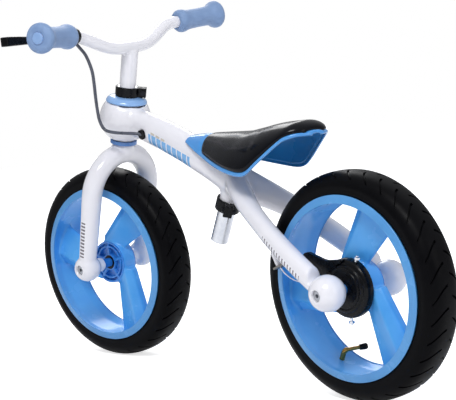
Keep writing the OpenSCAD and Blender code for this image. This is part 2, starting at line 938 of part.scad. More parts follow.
module fork_crown() {
    color(white) in_fork() difference() {
        translate([0, 0, -crown_drop])
            cylinder(r = crown_r, h = crown_drop + crown_top);
        translate([0, 0, arc_z]) rotate([90, 0, 90]) rotate_extrude(angle = 180)
            translate([fork_half, 0]) circle(r = leg_r);
    }
}

module leg_form(inset) {
    translate([0, 0, arc_z]) rotate([90, 0, 90])
        rotate_extrude(angle = 90) translate([fork_half, 0])
            circle(r = leg_r - inset);
    translate([0, fork_half, -axle_drop])
        cylinder(r1 = leg_d_end / 2 - inset, r2 = leg_r - inset,
            h = axle_drop + arc_z);
}

module fork_leg() {
    difference() {
        leg_form(0);
        leg_form(leg_wall);
        translate([0, fork_end_y, -axle_drop]) sphere(r = fork_end_r);
    }
}

module left_fork_leg() {
    color(white) in_fork() fork_leg();
}

module right_fork_leg() {
    color(white) in_fork() mirror([0, 1, 0]) fork_leg();
}

module left_fork_end() {
    color(white) at_front_axle() mirror([0, 0, 1])
        translate([0, 0, fork_end_y])
            end_ball(fork_end_r, fork_end_y - front_boss_y,
                front_reach - fork_end_y);
}

module right_fork_end() {
    color(white) at_front_axle() translate([0, 0, fork_end_y])
        end_ball(fork_end_r, fork_end_y - front_boss_y,
            front_reach - fork_end_y);
}

module dust_cap() {
    cap_r = cap_d / 2;
    low = head_top + move_gap;
    color(light_blue) in_fork() rotate_extrude() polygon([
        [steerer_r, low], [cap_r, low], [cap_r, low + 1.2],
        [cap_r - 3, low + 4.2], [cap_r - 8, low + 7], [collar_r, collar_z],
        [steerer_r, collar_z]]);
}

module lower_ring() {
    color(blue) in_fork() translate([0, 0, crown_top])
        ring_of(20.8, steerer_r, head_bottom - move_gap - crown_top);
}

module stem_collar() {
    color(black) in_fork() translate([0, 0, collar_z])
        rotate([0, 0, collar_turn])
            clamp_ring(collar_r, steerer_r, collar_h, collar_r + 11, 14);
}

module stem_collar_bolt() {
    color(steel) in_fork() translate([0, 0, collar_z])
        rotate([0, 0, collar_turn]) clamp_bolt(collar_h, collar_r + 11, 14);
}

// ---- handlebar --------------------------------------------------------

bar_r = bar_d / 2;
stem_r = stem_d / 2;
grip_dir = [-sin(grip_sweep) * cos(grip_slope),
    cos(grip_sweep) * cos(grip_slope), sin(grip_slope)];
bar_middle = [0, 0, bar_rise];
bar_knee = [0, bar_mid, bar_rise];
bar_bend = [grip_bend_fore, grip_bend_y, bar_rise + grip_bend_rise];
bar_tip = bar_bend + grip_run * grip_dir;

// One half of the bar, from the middle to its end.
half_bar = concat([bar_middle], corner(bar_middle, bar_knee, bar_bend, 20, 5),
    corner(bar_knee, bar_bend, bar_tip, 8, 5),
    [bar_bend + 20 * grip_dir, bar_tip]);
bar_path = concat(
    [for (i = [len(half_bar) - 1 : -1 : 1])
        [half_bar[i][0], -half_bar[i][1], half_bar[i][2]]],
    half_bar);

// Along the left grip's axis, with Z outward from the bend.
module on_grip() {
    translate(bar_bend) rotate([0, 0, grip_sweep])
        rotate([grip_slope - 90, 0, 0]) children();
}

module both_sides() {
    children();
    mirror([0, 1, 0]) children();
}

module handlebar() {
    color(white) in_bar() difference() {
        union() {
            path_tube(bar_path, bar_r, 20);
            translate([0, 0, -stem_down])
                cylinder(r = stem_r, h = bar_rise + stem_down - 3);
        }
        path_tube(longer(bar_path, 1), bar_r - bar_wall, 12);
        translate([0, 0, -stem_down - 1])
            cylinder(r = stem_r - bar_wall, h = bar_rise + stem_down - 12);
    }
}

grip_start = grip_run - grip_len;

module grip() {
    r = grip_d / 2;
    on_grip() rotate_extrude() polygon([
        [bar_r + seat_gap, grip_start], [r - 2, grip_start],
        [grip_bulge_d / 2 - 1, grip_start + 3],
        [grip_bulge_d / 2, grip_start + 9],
        [grip_bulge_d / 2 - 1, grip_start + 15], [r, grip_start + 23],
        [r, grip_run - 22], [r + 3, grip_run - 16],
        [grip_flange_d / 2, grip_run - 11], [grip_flange_d / 2, grip_run - 5],
        [grip_flange_d / 2 - 2, grip_run - 1.5],
        [grip_flange_d / 2 - 6, grip_run], [bar_r + seat_gap, grip_run]]);
}

module left_grip() {
    color(light_blue) in_bar() grip();
}

module right_grip() {
    color(light_blue) in_bar() mirror([0, 1, 0]) grip();
}

module grip_plugs() {
    color(white) in_bar() both_sides() on_grip()
        translate([0, 0, grip_run]) cylinder(r = bar_r, h = 2.5);
}

// ---- hand brake -------------------------------------------------------

// Z runs outward along the left grip and X forward to the lever.
module at_lever() {
    in_bar() on_grip() rotate([0, 0, lever_tilt]) children();
}

lever_at = 12.6;
lever_w = 8;
lever_pin_z = lever_at + 4;
lever_gap = 8;

module lever_bracket() {
    color(black) at_lever() difference() {
        union() {
            translate([0, 0, lever_at - lever_w / 2])
                cylinder(r = bar_r + 3, h = lever_w);
            translate([0, -7, lever_at - lever_w / 2])
                cube([lever_reach + 5, 14, lever_w + 4]);
            translate([bar_r + 6, 0, lever_at - lever_w / 2 - 8])
                cylinder(r = 4.5, h = 10);
        }
        translate([0, 0, 0]) cylinder(r = bar_r + seat_gap, h = 40);
        translate([lever_reach - 7, -lever_gap / 2, lever_at - lever_w])
            cube([30, lever_gap, 30]);
        translate([lever_reach, 20, lever_pin_z]) rotate([90, 0, 0])
            cylinder(r = lever_pin_d / 2, h = 40);
    }
}

module lever_pin() {
    color(steel) at_lever()
        translate([lever_reach, 8, lever_pin_z]) rotate([90, 0, 0])
            cylinder(r = lever_pin_d / 2, h = 16);
}

lever_t = lever_gap - 2 * move_gap;
blade_h = 10;
blade_end_h = 13.5;

// A rounded end of the lever's blade, standing along its height.
module blade_edge(x, z, r, top, h) {
    translate([lever_reach + x, top, lever_pin_z + z]) rotate([90, 0, 0])
        cylinder(r = r, h = h, $fn = 24);
}

module brake_lever() {
    color(black) at_lever() difference() {
        union() {
            translate([lever_reach, lever_t / 2, lever_pin_z])
                rotate([90, 0, 0]) cylinder(r = 5.5, h = lever_t);
            hull() {
                blade_edge(1, 2, 4, lever_t / 2, lever_t);
                blade_edge(12, 11, 5, lever_t / 2, lever_t);
            }
            hull() {
                blade_edge(12, 11, 5, lever_t / 2, lever_t);
                blade_edge(24, 22, 6, blade_h * 0.4, blade_h);
            }
            hull() {
                blade_edge(24, 22, 6, blade_h * 0.4, blade_h);
                blade_edge(34, 84, 7, blade_end_h * 0.38, blade_end_h);
            }
        }
        translate([lever_reach, 20, lever_pin_z]) rotate([90, 0, 0])
            cylinder(r = lever_pin_d / 2 + run_gap, h = 40);
    }
}

// ---- brake cable ------------------------------------------------------

port_r = 5;
sleeve_r = 4;
sleeve_lean = 24;
port = head_pos + [-63.1, beam_w / 2 - 0.8, -25.8];

// Z stands square on the tube's side at the cable's hole.
module at_port() {
    translate(port) rotate([-104, 0, 0]) children();
}

// Z runs out along the cable where it enters the tube.
module along_cable() {
    translate(port) rotate([0, 78.5, 49]) children();
}

// Z runs up along the cable where it leaves the arm.
module at_sleeve() {
    translate(outer_route[0]) rotate([0, sleeve_lean, 0]) children();
}

// Bends of the cable, from the middle of the head.
cable_bends = [[-28.1, 111, 128.2], [-26.1, 101, 122.2], [-29.1, 93, 111.2],
    [-34.1, 87, 99.2], [-34.1, 79, 77.2], [-28.1, 73, 57.2],
    [-20.1, 67, 37.2], [-13.1, 61, 17.2], [-8.1, 55, -0.8],
    [-11.1, 49, -14.8], [-25.1, 42, -19.8], [-41.1, 35, -21.8],
    [-55.1, 27.3, -23.3], [-63.1, 18, -25.8]];
cable_route = [for (p = cable_bends) head_pos + p];

// Inside the beam: a share of its length, and how far off its middle.
beam_run = [[0.3, 2, -4], [0.48, 2, 1], [0.66, 8, 2.5], [0.8, 15, -3],
    [0.89, 17.6, -3.5], [0.98, 17.6, -1.6]];
arm_run = [[208, 19, 126.5], [168, 32, 103.5], [130, 44, 80.5],
    [110, 50, 61.5], [104, 51, 46.5]];
inner_route = concat(
    [port + [-0.6, -0.9, -0.2], port + [-8, -9.5, -2.5]],
    [for (b = beam_run) beam_mid(b[0]) + [0, b[1], b[2]]],
    [for (p = arm_run) rear_hub + p]);
outer_route = [for (p = [[104, 51, 45.5], [100, 50, 36.5], [97, 49, 28.5]])
    rear_hub + p];
wire_route = [for (p = [[97, 49, 28.5], [91, 45, 17.5], [80, 40, 8.5],
    [62, 36, 4.5], [46, 34.5, 3.5]]) rear_hub + p];

module brake_cable() {
    color(steel) path_tube(smooth_path(cable_route, 3), cable_d / 2, 10);
}

module cable_grommet() {
    color(black) difference() {
        at_port() {
            translate([0, 0, -3]) cylinder(r = port_r, h = 4);
            translate([0, 0, 0.7]) cylinder(r = port_r + 2.5, h = 2);
        }
        along_cable() cylinder(r = cable_d / 2 + 0.5, h = 40, center = true);
    }
}

module inner_cable() {
    color(steel) path_tube(smooth_path(inner_route, 3),
        cable_d / 2 - move_gap, 8);
}

module cable_sleeve() {
    color(white) difference() {
        path_tube(smooth_path(outer_route, 2), sleeve_r, 12);
        path_tube(longer(outer_route, 2), 1.2, 8);
    }
}

// Sheet bracket under the arm that the sleeve ends on.
module cable_stop() {
    color(steel) translate(outer_route[2]) rotate([0, sleeve_lean, 0])
        difference() {
            union() {
                translate([-14.8, -7, -3.4]) cube([20.8, 14, 2.8]);
                translate([-14.8, -7, -3.4]) cube([3, 14, 3.4]);
            }
            translate([0, 0, -10]) cylinder(r = 1.8, h = 20);
        }
}

module brake_wire() {
    color(steel) path_tube(smooth_path(wire_route, 3), 0.9, 8);
}

// ---- rear brake -------------------------------------------------------

cover_r = cover_d / 2;
drum_r = drum_d / 2;
drum_start = hub_len / 2;
drum_w = 11;
band_r = drum_r + move_gap;

// Rear axle frame with Z outward to the rider's left and X forward.
module at_brake() {
    translate(rear_hub) rotate([-90, 0, 0]) children();
}

module brake_drum() {
    color(steel) at_brake() difference() {
        translate([0, 0, drum_start]) cylinder(r = drum_r, h = drum_w);
        translate([0, 0, drum_start - 1]) cylinder(r = bearing_r, h = 40);
        translate([0, 0, drum_start + 3])
            ring_of(drum_r - 3, bearing_r + 4, 20);
    }
}

module brake_band() {
    color(steel) at_brake() difference() {
        translate([0, 0, drum_start + 1])
            ring_of(band_r + band_t, band_r, drum_w - 3);
        translate([0, -4, 0]) cube([100, 8, 100]);
    }
}

module brake_cover() {
    color(black) at_brake() difference() {
        union() {
            translate([0, 0, drum_start + 0.6])
                cylinder(r = cover_r, h = cover_y - drum_start - 0.6);
            translate([0, 0, cover_y - 6]) linear_extrude(6) polygon([
                [-4, -cover_r + 0.5], [30, -36], [64, -46], [72, -40],
                [70, -30], [36, -14]]);
        }
        translate([0, 0, drum_start]) cylinder(r = cover_r - cover_t,
            h = cover_y - cover_t - drum_start);
        translate([0, 0, 0]) cylinder(r = spacer_r + 0.3, h = 80);
        translate([arm_pivot[0], arm_pivot[1], 0])
            cylinder(r = pivot_r, h = 80);
    }
}

arm_pivot = [27, 25];
arm_pinch = [47, -3];
pivot_r = 3;
stud_y = 20;

// A stud that stands out from the cover's rim, with its nut.
module rim_stud(turn) {
    translate([0, 0, stud_y]) rotate([0, 0, turn]) rotate([0, 90, 0]) {
        translate([0, 0, cover_r]) cylinder(r = 2, h = 9);
        translate([0, 0, cover_r + 4]) cylinder(r = 4, h = 3, $fn = 6);
    }
}

module brake_studs() {
    color(steel) at_brake() {
        translate([arm_pivot[0], arm_pivot[1], cover_y - 6])
            cylinder(r = pivot_r, h = 6 + brake_arm_t + 6);
        translate([arm_pivot[0], arm_pivot[1], cover_y + brake_arm_t + 3.2])
            cylinder(r = 5.5, h = 2.8, $fn = 6);
        rim_stud(-115);
        rim_stud(92);
    }
}

module brake_arm() {
    color(black) at_brake() translate([0, 0, cover_y + move_gap])
        difference() {
            linear_extrude(brake_arm_t) hull() {
                translate(arm_pivot) circle(r = 7);
                translate(arm_pinch) circle(r = 4);
            }
            translate([arm_pivot[0], arm_pivot[1], -1])
                cylinder(r = pivot_r + run_gap, h = 10);
        }
}

// Open coil round the stud, outside the arm.
module return_spring() {
    low = cover_y + move_gap + brake_arm_t + 0.9;
    coil = [for (k = [0 : 10])
        [4.4 * cos(36 * k), 4.4 * sin(36 * k), low + 0.115 * k]];
    color(steel) at_brake() translate([arm_pivot[0], arm_pivot[1], 0])
        path_tube(coil, 0.5, 6);
}

head_shell();
main_tube();
left_arm();
right_arm();
seat_tube();
left_rear_end();
right_rear_end();
head_bearings();
seat_clamp();
seat_clamp_bolt();
cable_grommet();
inner_cable();
cable_sleeve();
cable_stop();
brake_wire();
rear_axle();
rear_spacers();
rear_axle_bolts();
brake_cover();
brake_band();
brake_studs();
steerer();
fork_crown();
left_fork_leg();
right_fork_leg();
left_fork_end();
right_fork_end();
dust_cap();
lower_ring();
stem_collar();
stem_collar_bolt();
front_axle();
front_spacers();
front_axle_bolts();
handlebar();
left_grip();
right_grip();
grip_plugs();
lever_bracket();
lever_pin();
brake_cable();
brake_lever();
front_wheel();
front_tyre();
front_inner_tube();
front_valve();
front_bearings();
rear_wheel();
rear_tyre();
rear_inner_tube();
rear_valve();
rear_valve_cap();
rear_bearings();
brake_drum();
brake_arm();
return_spring();
seat_shell();
seat_pad();
seat_post();
seat_bracket();
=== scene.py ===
import math
import bmesh
import bpy
from mathutils import Matrix, Vector


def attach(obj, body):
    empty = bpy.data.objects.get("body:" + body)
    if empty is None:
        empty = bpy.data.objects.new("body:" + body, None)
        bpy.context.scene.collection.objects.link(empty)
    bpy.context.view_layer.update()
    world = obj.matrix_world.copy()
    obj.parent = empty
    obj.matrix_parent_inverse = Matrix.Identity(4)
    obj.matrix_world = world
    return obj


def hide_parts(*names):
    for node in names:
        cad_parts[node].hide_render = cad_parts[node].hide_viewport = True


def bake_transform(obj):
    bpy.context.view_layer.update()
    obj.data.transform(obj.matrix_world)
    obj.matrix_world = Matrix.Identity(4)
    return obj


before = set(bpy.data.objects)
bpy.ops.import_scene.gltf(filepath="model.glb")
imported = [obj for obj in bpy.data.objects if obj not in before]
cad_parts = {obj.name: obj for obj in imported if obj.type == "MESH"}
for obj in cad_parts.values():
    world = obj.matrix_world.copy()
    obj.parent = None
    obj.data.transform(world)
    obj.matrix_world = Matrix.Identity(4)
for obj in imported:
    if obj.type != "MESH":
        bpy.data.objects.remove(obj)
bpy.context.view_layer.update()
mm = 0.001
# Points closer than this, in metres, are one.
weld = 1e-6

# Lengths in every dictionary are in millimetres and angles in degrees.
bike = dict(
    wheelbase=539, axleHeight=152.5, rake=15.5, axleToHead=239,
    steer=7.6, barTurn=4.7)


# Where things are
def point(*values):
    return Vector(values) * mm


def turn(angle, axis):
    return Matrix.Rotation(math.radians(angle), 4, axis)


def shift(*values):
    return Matrix.Translation(point(*values))


rakeTurn = turn(-bike["rake"], "Y")
frontHub = point(bike["wheelbase"], 0, bike["axleHeight"])
headPoint = frontHub + rakeTurn @ point(0, 0, bike["axleToHead"])
headPlace = Matrix.Translation(headPoint) @ rakeTurn
forkPlace = headPlace @ turn(bike["steer"], "Z")
barPlace = forkPlace @ turn(bike["barTurn"], "Z")
rearHubPlace = shift(0, 0, bike["axleHeight"]) @ turn(90, "X")
frontHubPlace = (forkPlace @ shift(0, 0, -bike["axleToHead"])
                 @ turn(bike["rake"], "Y") @ turn(90, "X"))


def addObject(name, data):
    thing = bpy.data.objects.new(name, data)
    bpy.context.scene.collection.objects.link(thing)
    return thing


# The camera
cameraSet = dict(
    place=(-1178.35, 1221.45, 461.86), heading=-40.5941, pitch=-6.1822,
    roll=-4.916, lens=103.6)


def makeCamera(data):
    lens = bpy.data.cameras.new("camera")
    lens.lens = data["lens"]
    camera = addObject("camera", lens)
    camera.matrix_world = (shift(*data["place"])
                           @ turn(data["heading"] - 90, "Z")
                           @ turn(data["pitch"] + 90, "X")
                           @ turn(data["roll"], "Z"))
    bpy.context.scene.camera = camera


makeCamera(cameraSet)
bpy.context.scene.view_settings.view_transform = "Standard"
print("camera placed")


# Materials
def linearOf(colour):
    parts = [int(colour[i:i + 2], 16) / 255 for i in (1, 3, 5)]
    return [p / 12.92 if p <= 0.04045 else ((p + 0.055) / 1.055) ** 2.4
            for p in parts] + [1]


# The owner is a material or a world.
def addNode(owner, kind, settings=None, links=None):
    node = owner.node_tree.nodes.new("ShaderNode" + kind)
    for name, value in (settings or {}).items():
        if isinstance(name, str) and name in node.bl_rna.properties:
            setattr(node, name, value)
        else:
            node.inputs[name].default_value = value
    for name, source in (links or {}).items():
        owner.node_tree.links.new(source, node.inputs[name])
    return node


# Noise lies mostly between these.
noiseLow, noiseHigh = 0.3, 0.7


# A finish: fine grain gives the relief, slow drift moves shine and colour.
def makeFinish(name, data):
    material = bpy.data.materials.new(name)
    material.use_nodes = True
    material.node_tree.nodes.clear()
    shader = addNode(material, "BsdfPrincipled",
                     {"Base Color": linearOf(data["colour"]),
                      **data["shader"]})
    addNode(material, "OutputMaterial", links={0: shader.outputs[0]})
    place = addNode(material, "TexCoord").outputs["Object"]
    fine = addNode(material, "Mapping",
                   {"Scale": data.get("stretch", (1, 1, 1))},
                   {"Vector": place}).outputs[0]
    size = 1 / (data["grain"] * mm)
    if data.get("pebbled"):
        height = addNode(material, "TexVoronoi",
                         {"Scale": size, "feature": "SMOOTH_F1"},
                         {"Vector": fine}).outputs["Distance"]
    else:
        height = addNode(material, "TexNoise", {"Scale": size, "Detail": 3},
                         {"Vector": fine}).outputs["Fac"]
    drift = addNode(material, "TexNoise",
                    {"Scale": 1 / (data["drift"] * mm), "Detail": 3},
                    {"Vector": place}).outputs["Fac"]
    low, high = data["gloss"]
    gloss = addNode(material, "MapRange",
                    {"From Min": noiseLow, "From Max": noiseHigh,
                     "To Min": low, "To Max": high},
                    {"Value": drift}).outputs[0]
    bump = addNode(material, "Bump",
                   {"Strength": 1, "Distance": data["depth"] * mm},
                   {"Height": height}).outputs[0]
    ramp = addNode(material, "ValToRGB", links={"Fac": drift})
    first, last = ramp.color_ramp.elements
    first.position, first.color = noiseLow, linearOf(data["deep"])
    last.position, last.color = noiseHigh, linearOf(data["colour"])
    colour = ramp.outputs[0]
    for bars in data.get("bars", ()):
        colour = addBars(material, colour, place, bars)
    for socket, source in (("Roughness", gloss), ("Normal", bump),
                           ("Base Color", colour)):
        material.node_tree.links.new(source, shader.inputs[socket])
    return material


# Plain printed bars: X runs along them, Y over their height, Z outwards.
def addBars(material, under, place, bars):
    inverse = bars["place"].inverted()
    place = addNode(material, "Mapping",
                    {"Location": inverse.translation,
                     "Rotation": inverse.to_euler()},
                    {"Vector": place}).outputs[0]
    along, over, out = addNode(material, "SeparateXYZ",
                               links={0: place}).outputs
    beat = addNode(material, "Math",
                   {"operation": "PINGPONG", 1: bars["pitch"] * mm / 2},
                   {0: along}).outputs[0]
    limits = [(beat, bars["bar"] / 2), (along, bars["length"] / 2),
              (over, bars["height"] / 2)]
    mask = addNode(material, "Math", {"operation": "GREATER_THAN", 1: 0},
                   {0: out}).outputs[0]
    for source, limit in limits:
        inside = addNode(material, "Math",
                         {"operation": "COMPARE", 1: 0, 2: limit * mm},
                         {0: source}).outputs[0]
        mask = addNode(material, "Math", {"operation": "MULTIPLY"},
                       {0: mask, 1: inside}).outputs[0]
    # Inputs 6 and 7 and output 2 are the colours of this node.
    mix = addNode(material, "Mix",
                  {"data_type": "RGBA", 7: linearOf(bars["colour"])},
                  {"Factor": mask, 6: under})
    return mix.outputs[2]


# A place on the bike's left side, for bars that lean and spread with a tube.
def onLeft(spot, lean, spread=0):
    return (shift(*spot) @ turn(spread, "Z") @ turn(lean, "Y")
            @ turn(-90, "X") @ turn(180, "Z"))


# Colours are sRGB, gloss is the span of roughness, and grain, drift and
# depth are millimetres.
finishes = dict(
    # Baked enamel on welded alloy: a wet gloss over a faint orange peel.
    bakedWhiteEnamel=dict(
        colour="#f3f2f7", deep="#efeef4", gloss=(0.16, 0.24), grain=1.7,
        depth=0.01, drift=40, shader={
            "IOR": 1.5, "Coat Weight": 0.5, "Coat Roughness": 0.06}),
    # Glass-filled nylon, moulded: satin gloss with slow flow ripples.
    # The wheel casting is lighter than its lip ring, as painted fill light for
    # the shade inside the barrel.
    paintedFillCastingNylon=dict(
        colour="#5cb0f2", deep="#4ba2ea", gloss=(0.2, 0.3), grain=9,
        depth=0.03, drift=45, shader={
            "IOR": 1.53, "Specular IOR Level": 0.35, "Coat Weight": 0.15,
            "Coat Roughness": 0.1}),
    # The lip ring: the same nylon made darker, as painted shade against the
    # light its rim catches.
    paintedShadeLipNylon=dict(
        colour="#5da1de", deep="#5498d6", gloss=(0.2, 0.3), grain=9,
        depth=0.02, drift=45, shader={
            "IOR": 1.53, "Specular IOR Level": 0.35, "Coat Weight": 0.15,
            "Coat Roughness": 0.1}),
    # The hub and spacers: the wheel's nylon in a deeper blue, as painted shade
    # for their place deep inside the wheel.
    paintedShadeHubNylon=dict(
        colour="#378ade", deep="#2678cc", gloss=(0.2, 0.3), grain=7,
        depth=0.02, drift=20, shader={
            "IOR": 1.53, "Coat Weight": 0.2, "Coat Roughness": 0.15}),
    # Carbon-black rubber, cured in a mould: near black, with a dull sheen.
    tyreRubber=dict(
        colour="#060609", deep="#040406", gloss=(0.36, 0.48), grain=0.9,
        depth=0.04, drift=22, shader={
            "IOR": 1.52, "Specular IOR Level": 0.06}),
    butylRubber=dict(
        colour="#1d1e23", deep="#15161a", gloss=(0.5, 0.62), grain=1.2,
        depth=0.03, drift=20, shader={
            "IOR": 1.52, "Specular IOR Level": 0.2}),
    grommetRubber=dict(
        colour="#0e0e12", deep="#0a0a0d", gloss=(0.4, 0.5), grain=0.8,
        depth=0.03, drift=6, shader={
            "IOR": 1.52, "Specular IOR Level": 0.15}),
    # Thermoplastic rubber: matt, with a fine spark-eroded texture.
    softGripRubber=dict(
        colour="#839fc8", deep="#7894bf", gloss=(0.48, 0.62), grain=0.7,
        depth=0.05, drift=14, shader={
            "IOR": 1.5, "Sheen Weight": 0.1, "Sheen Roughness": 0.5}),
    gripPlugRubber=dict(
        colour="#8fb0de", deep="#87a9d9", gloss=(0.42, 0.54), grain=0.7,
        depth=0.04, drift=9, shader={"IOR": 1.5}),
    # ABS, injection moulded in a polished tool: smooth and glossy.
    lightBlueAbs=dict(
        colour="#8fb9ec", deep="#86b1e6", gloss=(0.16, 0.26), grain=6,
        depth=0.012, drift=18, shader={
            "IOR": 1.54, "Coat Weight": 0.3, "Coat Roughness": 0.08}),
    deepBlueAbs=dict(
        colour="#4a7fc4", deep="#4176ba", gloss=(0.2, 0.3), grain=6,
        depth=0.012, drift=18, shader={
            "IOR": 1.54, "Coat Weight": 0.3, "Coat Roughness": 0.08}),
    seatBlueAbs=dict(
        colour="#4f9fe6", deep="#4293dd", gloss=(0.16, 0.26), grain=8,
        depth=0.012, drift=40, shader={
            "IOR": 1.54, "Coat Weight": 0.3, "Coat Roughness": 0.08}),
    # The shell's underside: the same blue ABS made darker, as painted shade
    # under the seat.
    paintedShadeSeatAbs=dict(
        colour="#0b76ba", deep="#0968a6", gloss=(0.24, 0.36), grain=8,
        depth=0.012, drift=60, shader={
            "IOR": 1.54, "Specular IOR Level": 0.25}),
    # PVC leathercloth over foam: pebbled grain under a gloss film.
    blackLeathercloth=dict(
        colour="#05070f", deep="#030409", gloss=(0.16, 0.24), grain=1.3,
        depth=0.014, drift=12, pebbled=True, shader={
            "IOR": 1.5, "Specular IOR Level": 0.13, "Coat Weight": 0.08,
            "Coat Roughness": 0.08}),
    # Powder-coated steel: black, semi-gloss, slightly pimpled.
    blackPowderCoat=dict(
        colour="#06070b", deep="#040508", gloss=(0.22, 0.34), grain=0.6,
        depth=0.03, drift=9, shader={
            "IOR": 1.5, "Specular IOR Level": 0.13, "Coat Weight": 0.1,
            "Coat Roughness": 0.06}),
    # Plated steel: bright, with faint turning lines across its length.
    chromedSteel=dict(
        colour="#dfe1e6", deep="#cfd2d9", gloss=(0.08, 0.16), grain=0.35,
        depth=0.005, drift=7, stretch=(1, 1, 0.08),
        shader={"Metallic": 1}),
    zincPlatedSteel=dict(
        colour="#b4b7bd", deep="#a2a5ab", gloss=(0.24, 0.34), grain=0.35,
        depth=0.006, drift=6, stretch=(1, 1, 0.08),
        shader={"Metallic": 1}),
    greyPlatedSteel=dict(
        colour="#8b8782", deep="#77736e", gloss=(0.36, 0.46), grain=0.5,
        depth=0.008, drift=6, shader={"Metallic": 1}),
    blackOxideSteel=dict(
        colour="#2c2d31", deep="#222327", gloss=(0.3, 0.4), grain=0.4,
        depth=0.006, drift=6, shader={"Metallic": 1}),
    valveBrass=dict(
        colour="#b79150", deep="#a17d40", gloss=(0.24, 0.32), grain=0.35,
        depth=0.006, drift=6, shader={"Metallic": 1}),
    # Extruded PVC cable jacket: smooth grey-black with a soft shine.
    cableJacket=dict(
        colour="#545866", deep="#464a56", gloss=(0.25, 0.36), grain=1.2,
        depth=0.02, drift=12, shader={"IOR": 1.53}),
    # Woven brake lining bonded with resin: rough, brown-grey.
    brakeLining=dict(
        colour="#443d35", deep="#3a342e", gloss=(0.6, 0.75), grain=0.8,
        depth=0.06, drift=5, shader={"IOR": 1.5}))

# The same enamel with plain screen-printed bars.
finishes["frameEnamel"] = dict(
    finishes["bakedWhiteEnamel"], bars=(
        dict(place=onLeft((351, 0, 332.5), -20.6), length=102, height=17,
             pitch=12.6, bar=10.4, colour="#6fb1ea"),
        dict(place=onLeft((374, 0, 352.5), -20.6), length=40, height=3.4,
             pitch=12.6, bar=9, colour="#cbc3b6"),
        dict(place=onLeft((74, 60, 195), -32.6, -7), length=88, height=8,
             pitch=6.3, bar=2.4, colour="#77727c")))
finishes["forkEnamel"] = dict(
    finishes["bakedWhiteEnamel"], bars=(
        dict(place=forkPlace @ onLeft((0.5, 60, -189), -90), length=58,
             height=9, pitch=5.6, bar=3.2, colour="#68636d"),))
materials = {name: makeFinish(name, data)
             for name, data in finishes.items()}
print("materials made")


nodeFinish = dict(
    bakedWhiteEnamel=[
        "head_shell", "main_tube", "left_arm", "right_arm", "seat_tube",
        "left_rear_end", "right_rear_end", "fork_crown", "left_fork_leg",
        "right_fork_leg", "left_fork_end", "right_fork_end", "handlebar",
        "cable_sleeve"],
    # The wheel nodes take the casting's lighter nylon, painted fill light.
    paintedFillCastingNylon=["front_wheel", "rear_wheel"],
    tyreRubber=["front_tyre", "rear_tyre"],
    butylRubber=["front_inner_tube", "rear_inner_tube"],
    softGripRubber=["left_grip", "right_grip"],
    gripPlugRubber=["grip_plugs"],
    lightBlueAbs=["dust_cap"],
    # The spacers take the hub's deeper blue, painted shade.
    paintedShadeHubNylon=["rear_spacers", "front_spacers"],
    deepBlueAbs=["lower_ring"],
    seatBlueAbs=["seat_shell"],
    blackLeathercloth=["seat_pad"],
    blackPowderCoat=[
        "stem_collar", "seat_clamp", "lever_bracket", "brake_lever",
        "rear_valve_cap", "brake_cover"],
    chromedSteel=["seat_post", "steerer", "brake_wire", "brake_studs"],
    blackOxideSteel=[
        "seat_clamp_bolt", "stem_collar_bolt", "front_bearings",
        "rear_bearings"],
    zincPlatedSteel=[
        "head_bearings", "rear_axle", "rear_axle_bolts", "front_axle",
        "front_axle_bolts", "lever_pin", "brake_arm", "return_spring",
        "inner_cable", "seat_bracket"],
    greyPlatedSteel=["cable_stop", "brake_drum"],
    valveBrass=["front_valve", "rear_valve"],
    brakeLining=["brake_band"],
    cableJacket=["brake_cable"],
    grommetRubber=["cable_grommet"])

for finish, names in nodeFinish.items():
    for name in names:
        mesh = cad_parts[name].data
        mesh.materials.clear()
        mesh.materials.append(materials[finish])
print("carried-over parts finished")


# Shared making steps
def plainMesh(bm, name):
    mesh = bpy.data.meshes.new(name)
    bm.to_mesh(mesh)
    bm.free()
    return mesh


def storeMesh(bm, name, sharpAngle=40):
    mesh = plainMesh(bm, name)
    mesh.shade_smooth()
    mesh.set_sharp_from_angle(angle=math.radians(sharpAngle))
    return mesh


def addPiece(name, mesh, body, finish, replaced=()):
    piece = addObject(name, mesh)
    if not mesh.materials:
        mesh.materials.append(materials[finish])
    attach(piece, body)
    if replaced:
        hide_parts(*replaced)
    return piece


def spinProfile(profile, place, steps=96, soften=0, rounds=2):
    bm = bmesh.new()
    verts = [bm.verts.new(point(r, 0, h)) for r, h in profile]
    edges = [bm.edges.new(pair) for pair in zip(verts, verts[1:] + verts[:1])]
    bmesh.ops.spin(bm, geom=verts + edges, axis=(0, 0, 1), cent=(0, 0, 0),
                   angle=math.tau, steps=steps, use_merge=True)
    bmesh.ops.remove_doubles(bm, verts=bm.verts, dist=weld)
    bmesh.ops.recalc_face_normals(bm, faces=bm.faces)
    if soften:
        softenEdges(bm, soften, rounds)
    bm.transform(place)
    return bm


def softenEdges(bm, width, rounds=2, angle=25):
    sharp = [e for e in bm.edges
             if e.calc_face_angle(0) > math.radians(angle)]
    bmesh.ops.bevel(bm, geom=sharp, offset=width * mm, segments=rounds,
                    profile=0.5, affect="EDGES", material=-1,
                    clamp_overlap=True)


# The solids' skins run together as one weld-blended skin.
def meltNodes(name, nodes, grid, rounds, blends=()):
    bm = bmesh.new()
    for node in nodes:
        bm.from_mesh(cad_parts[node].data)
    bmesh.ops.remove_doubles(bm, verts=bm.verts, dist=weld)
    return meltSkin(bm, name, grid, rounds, blends)


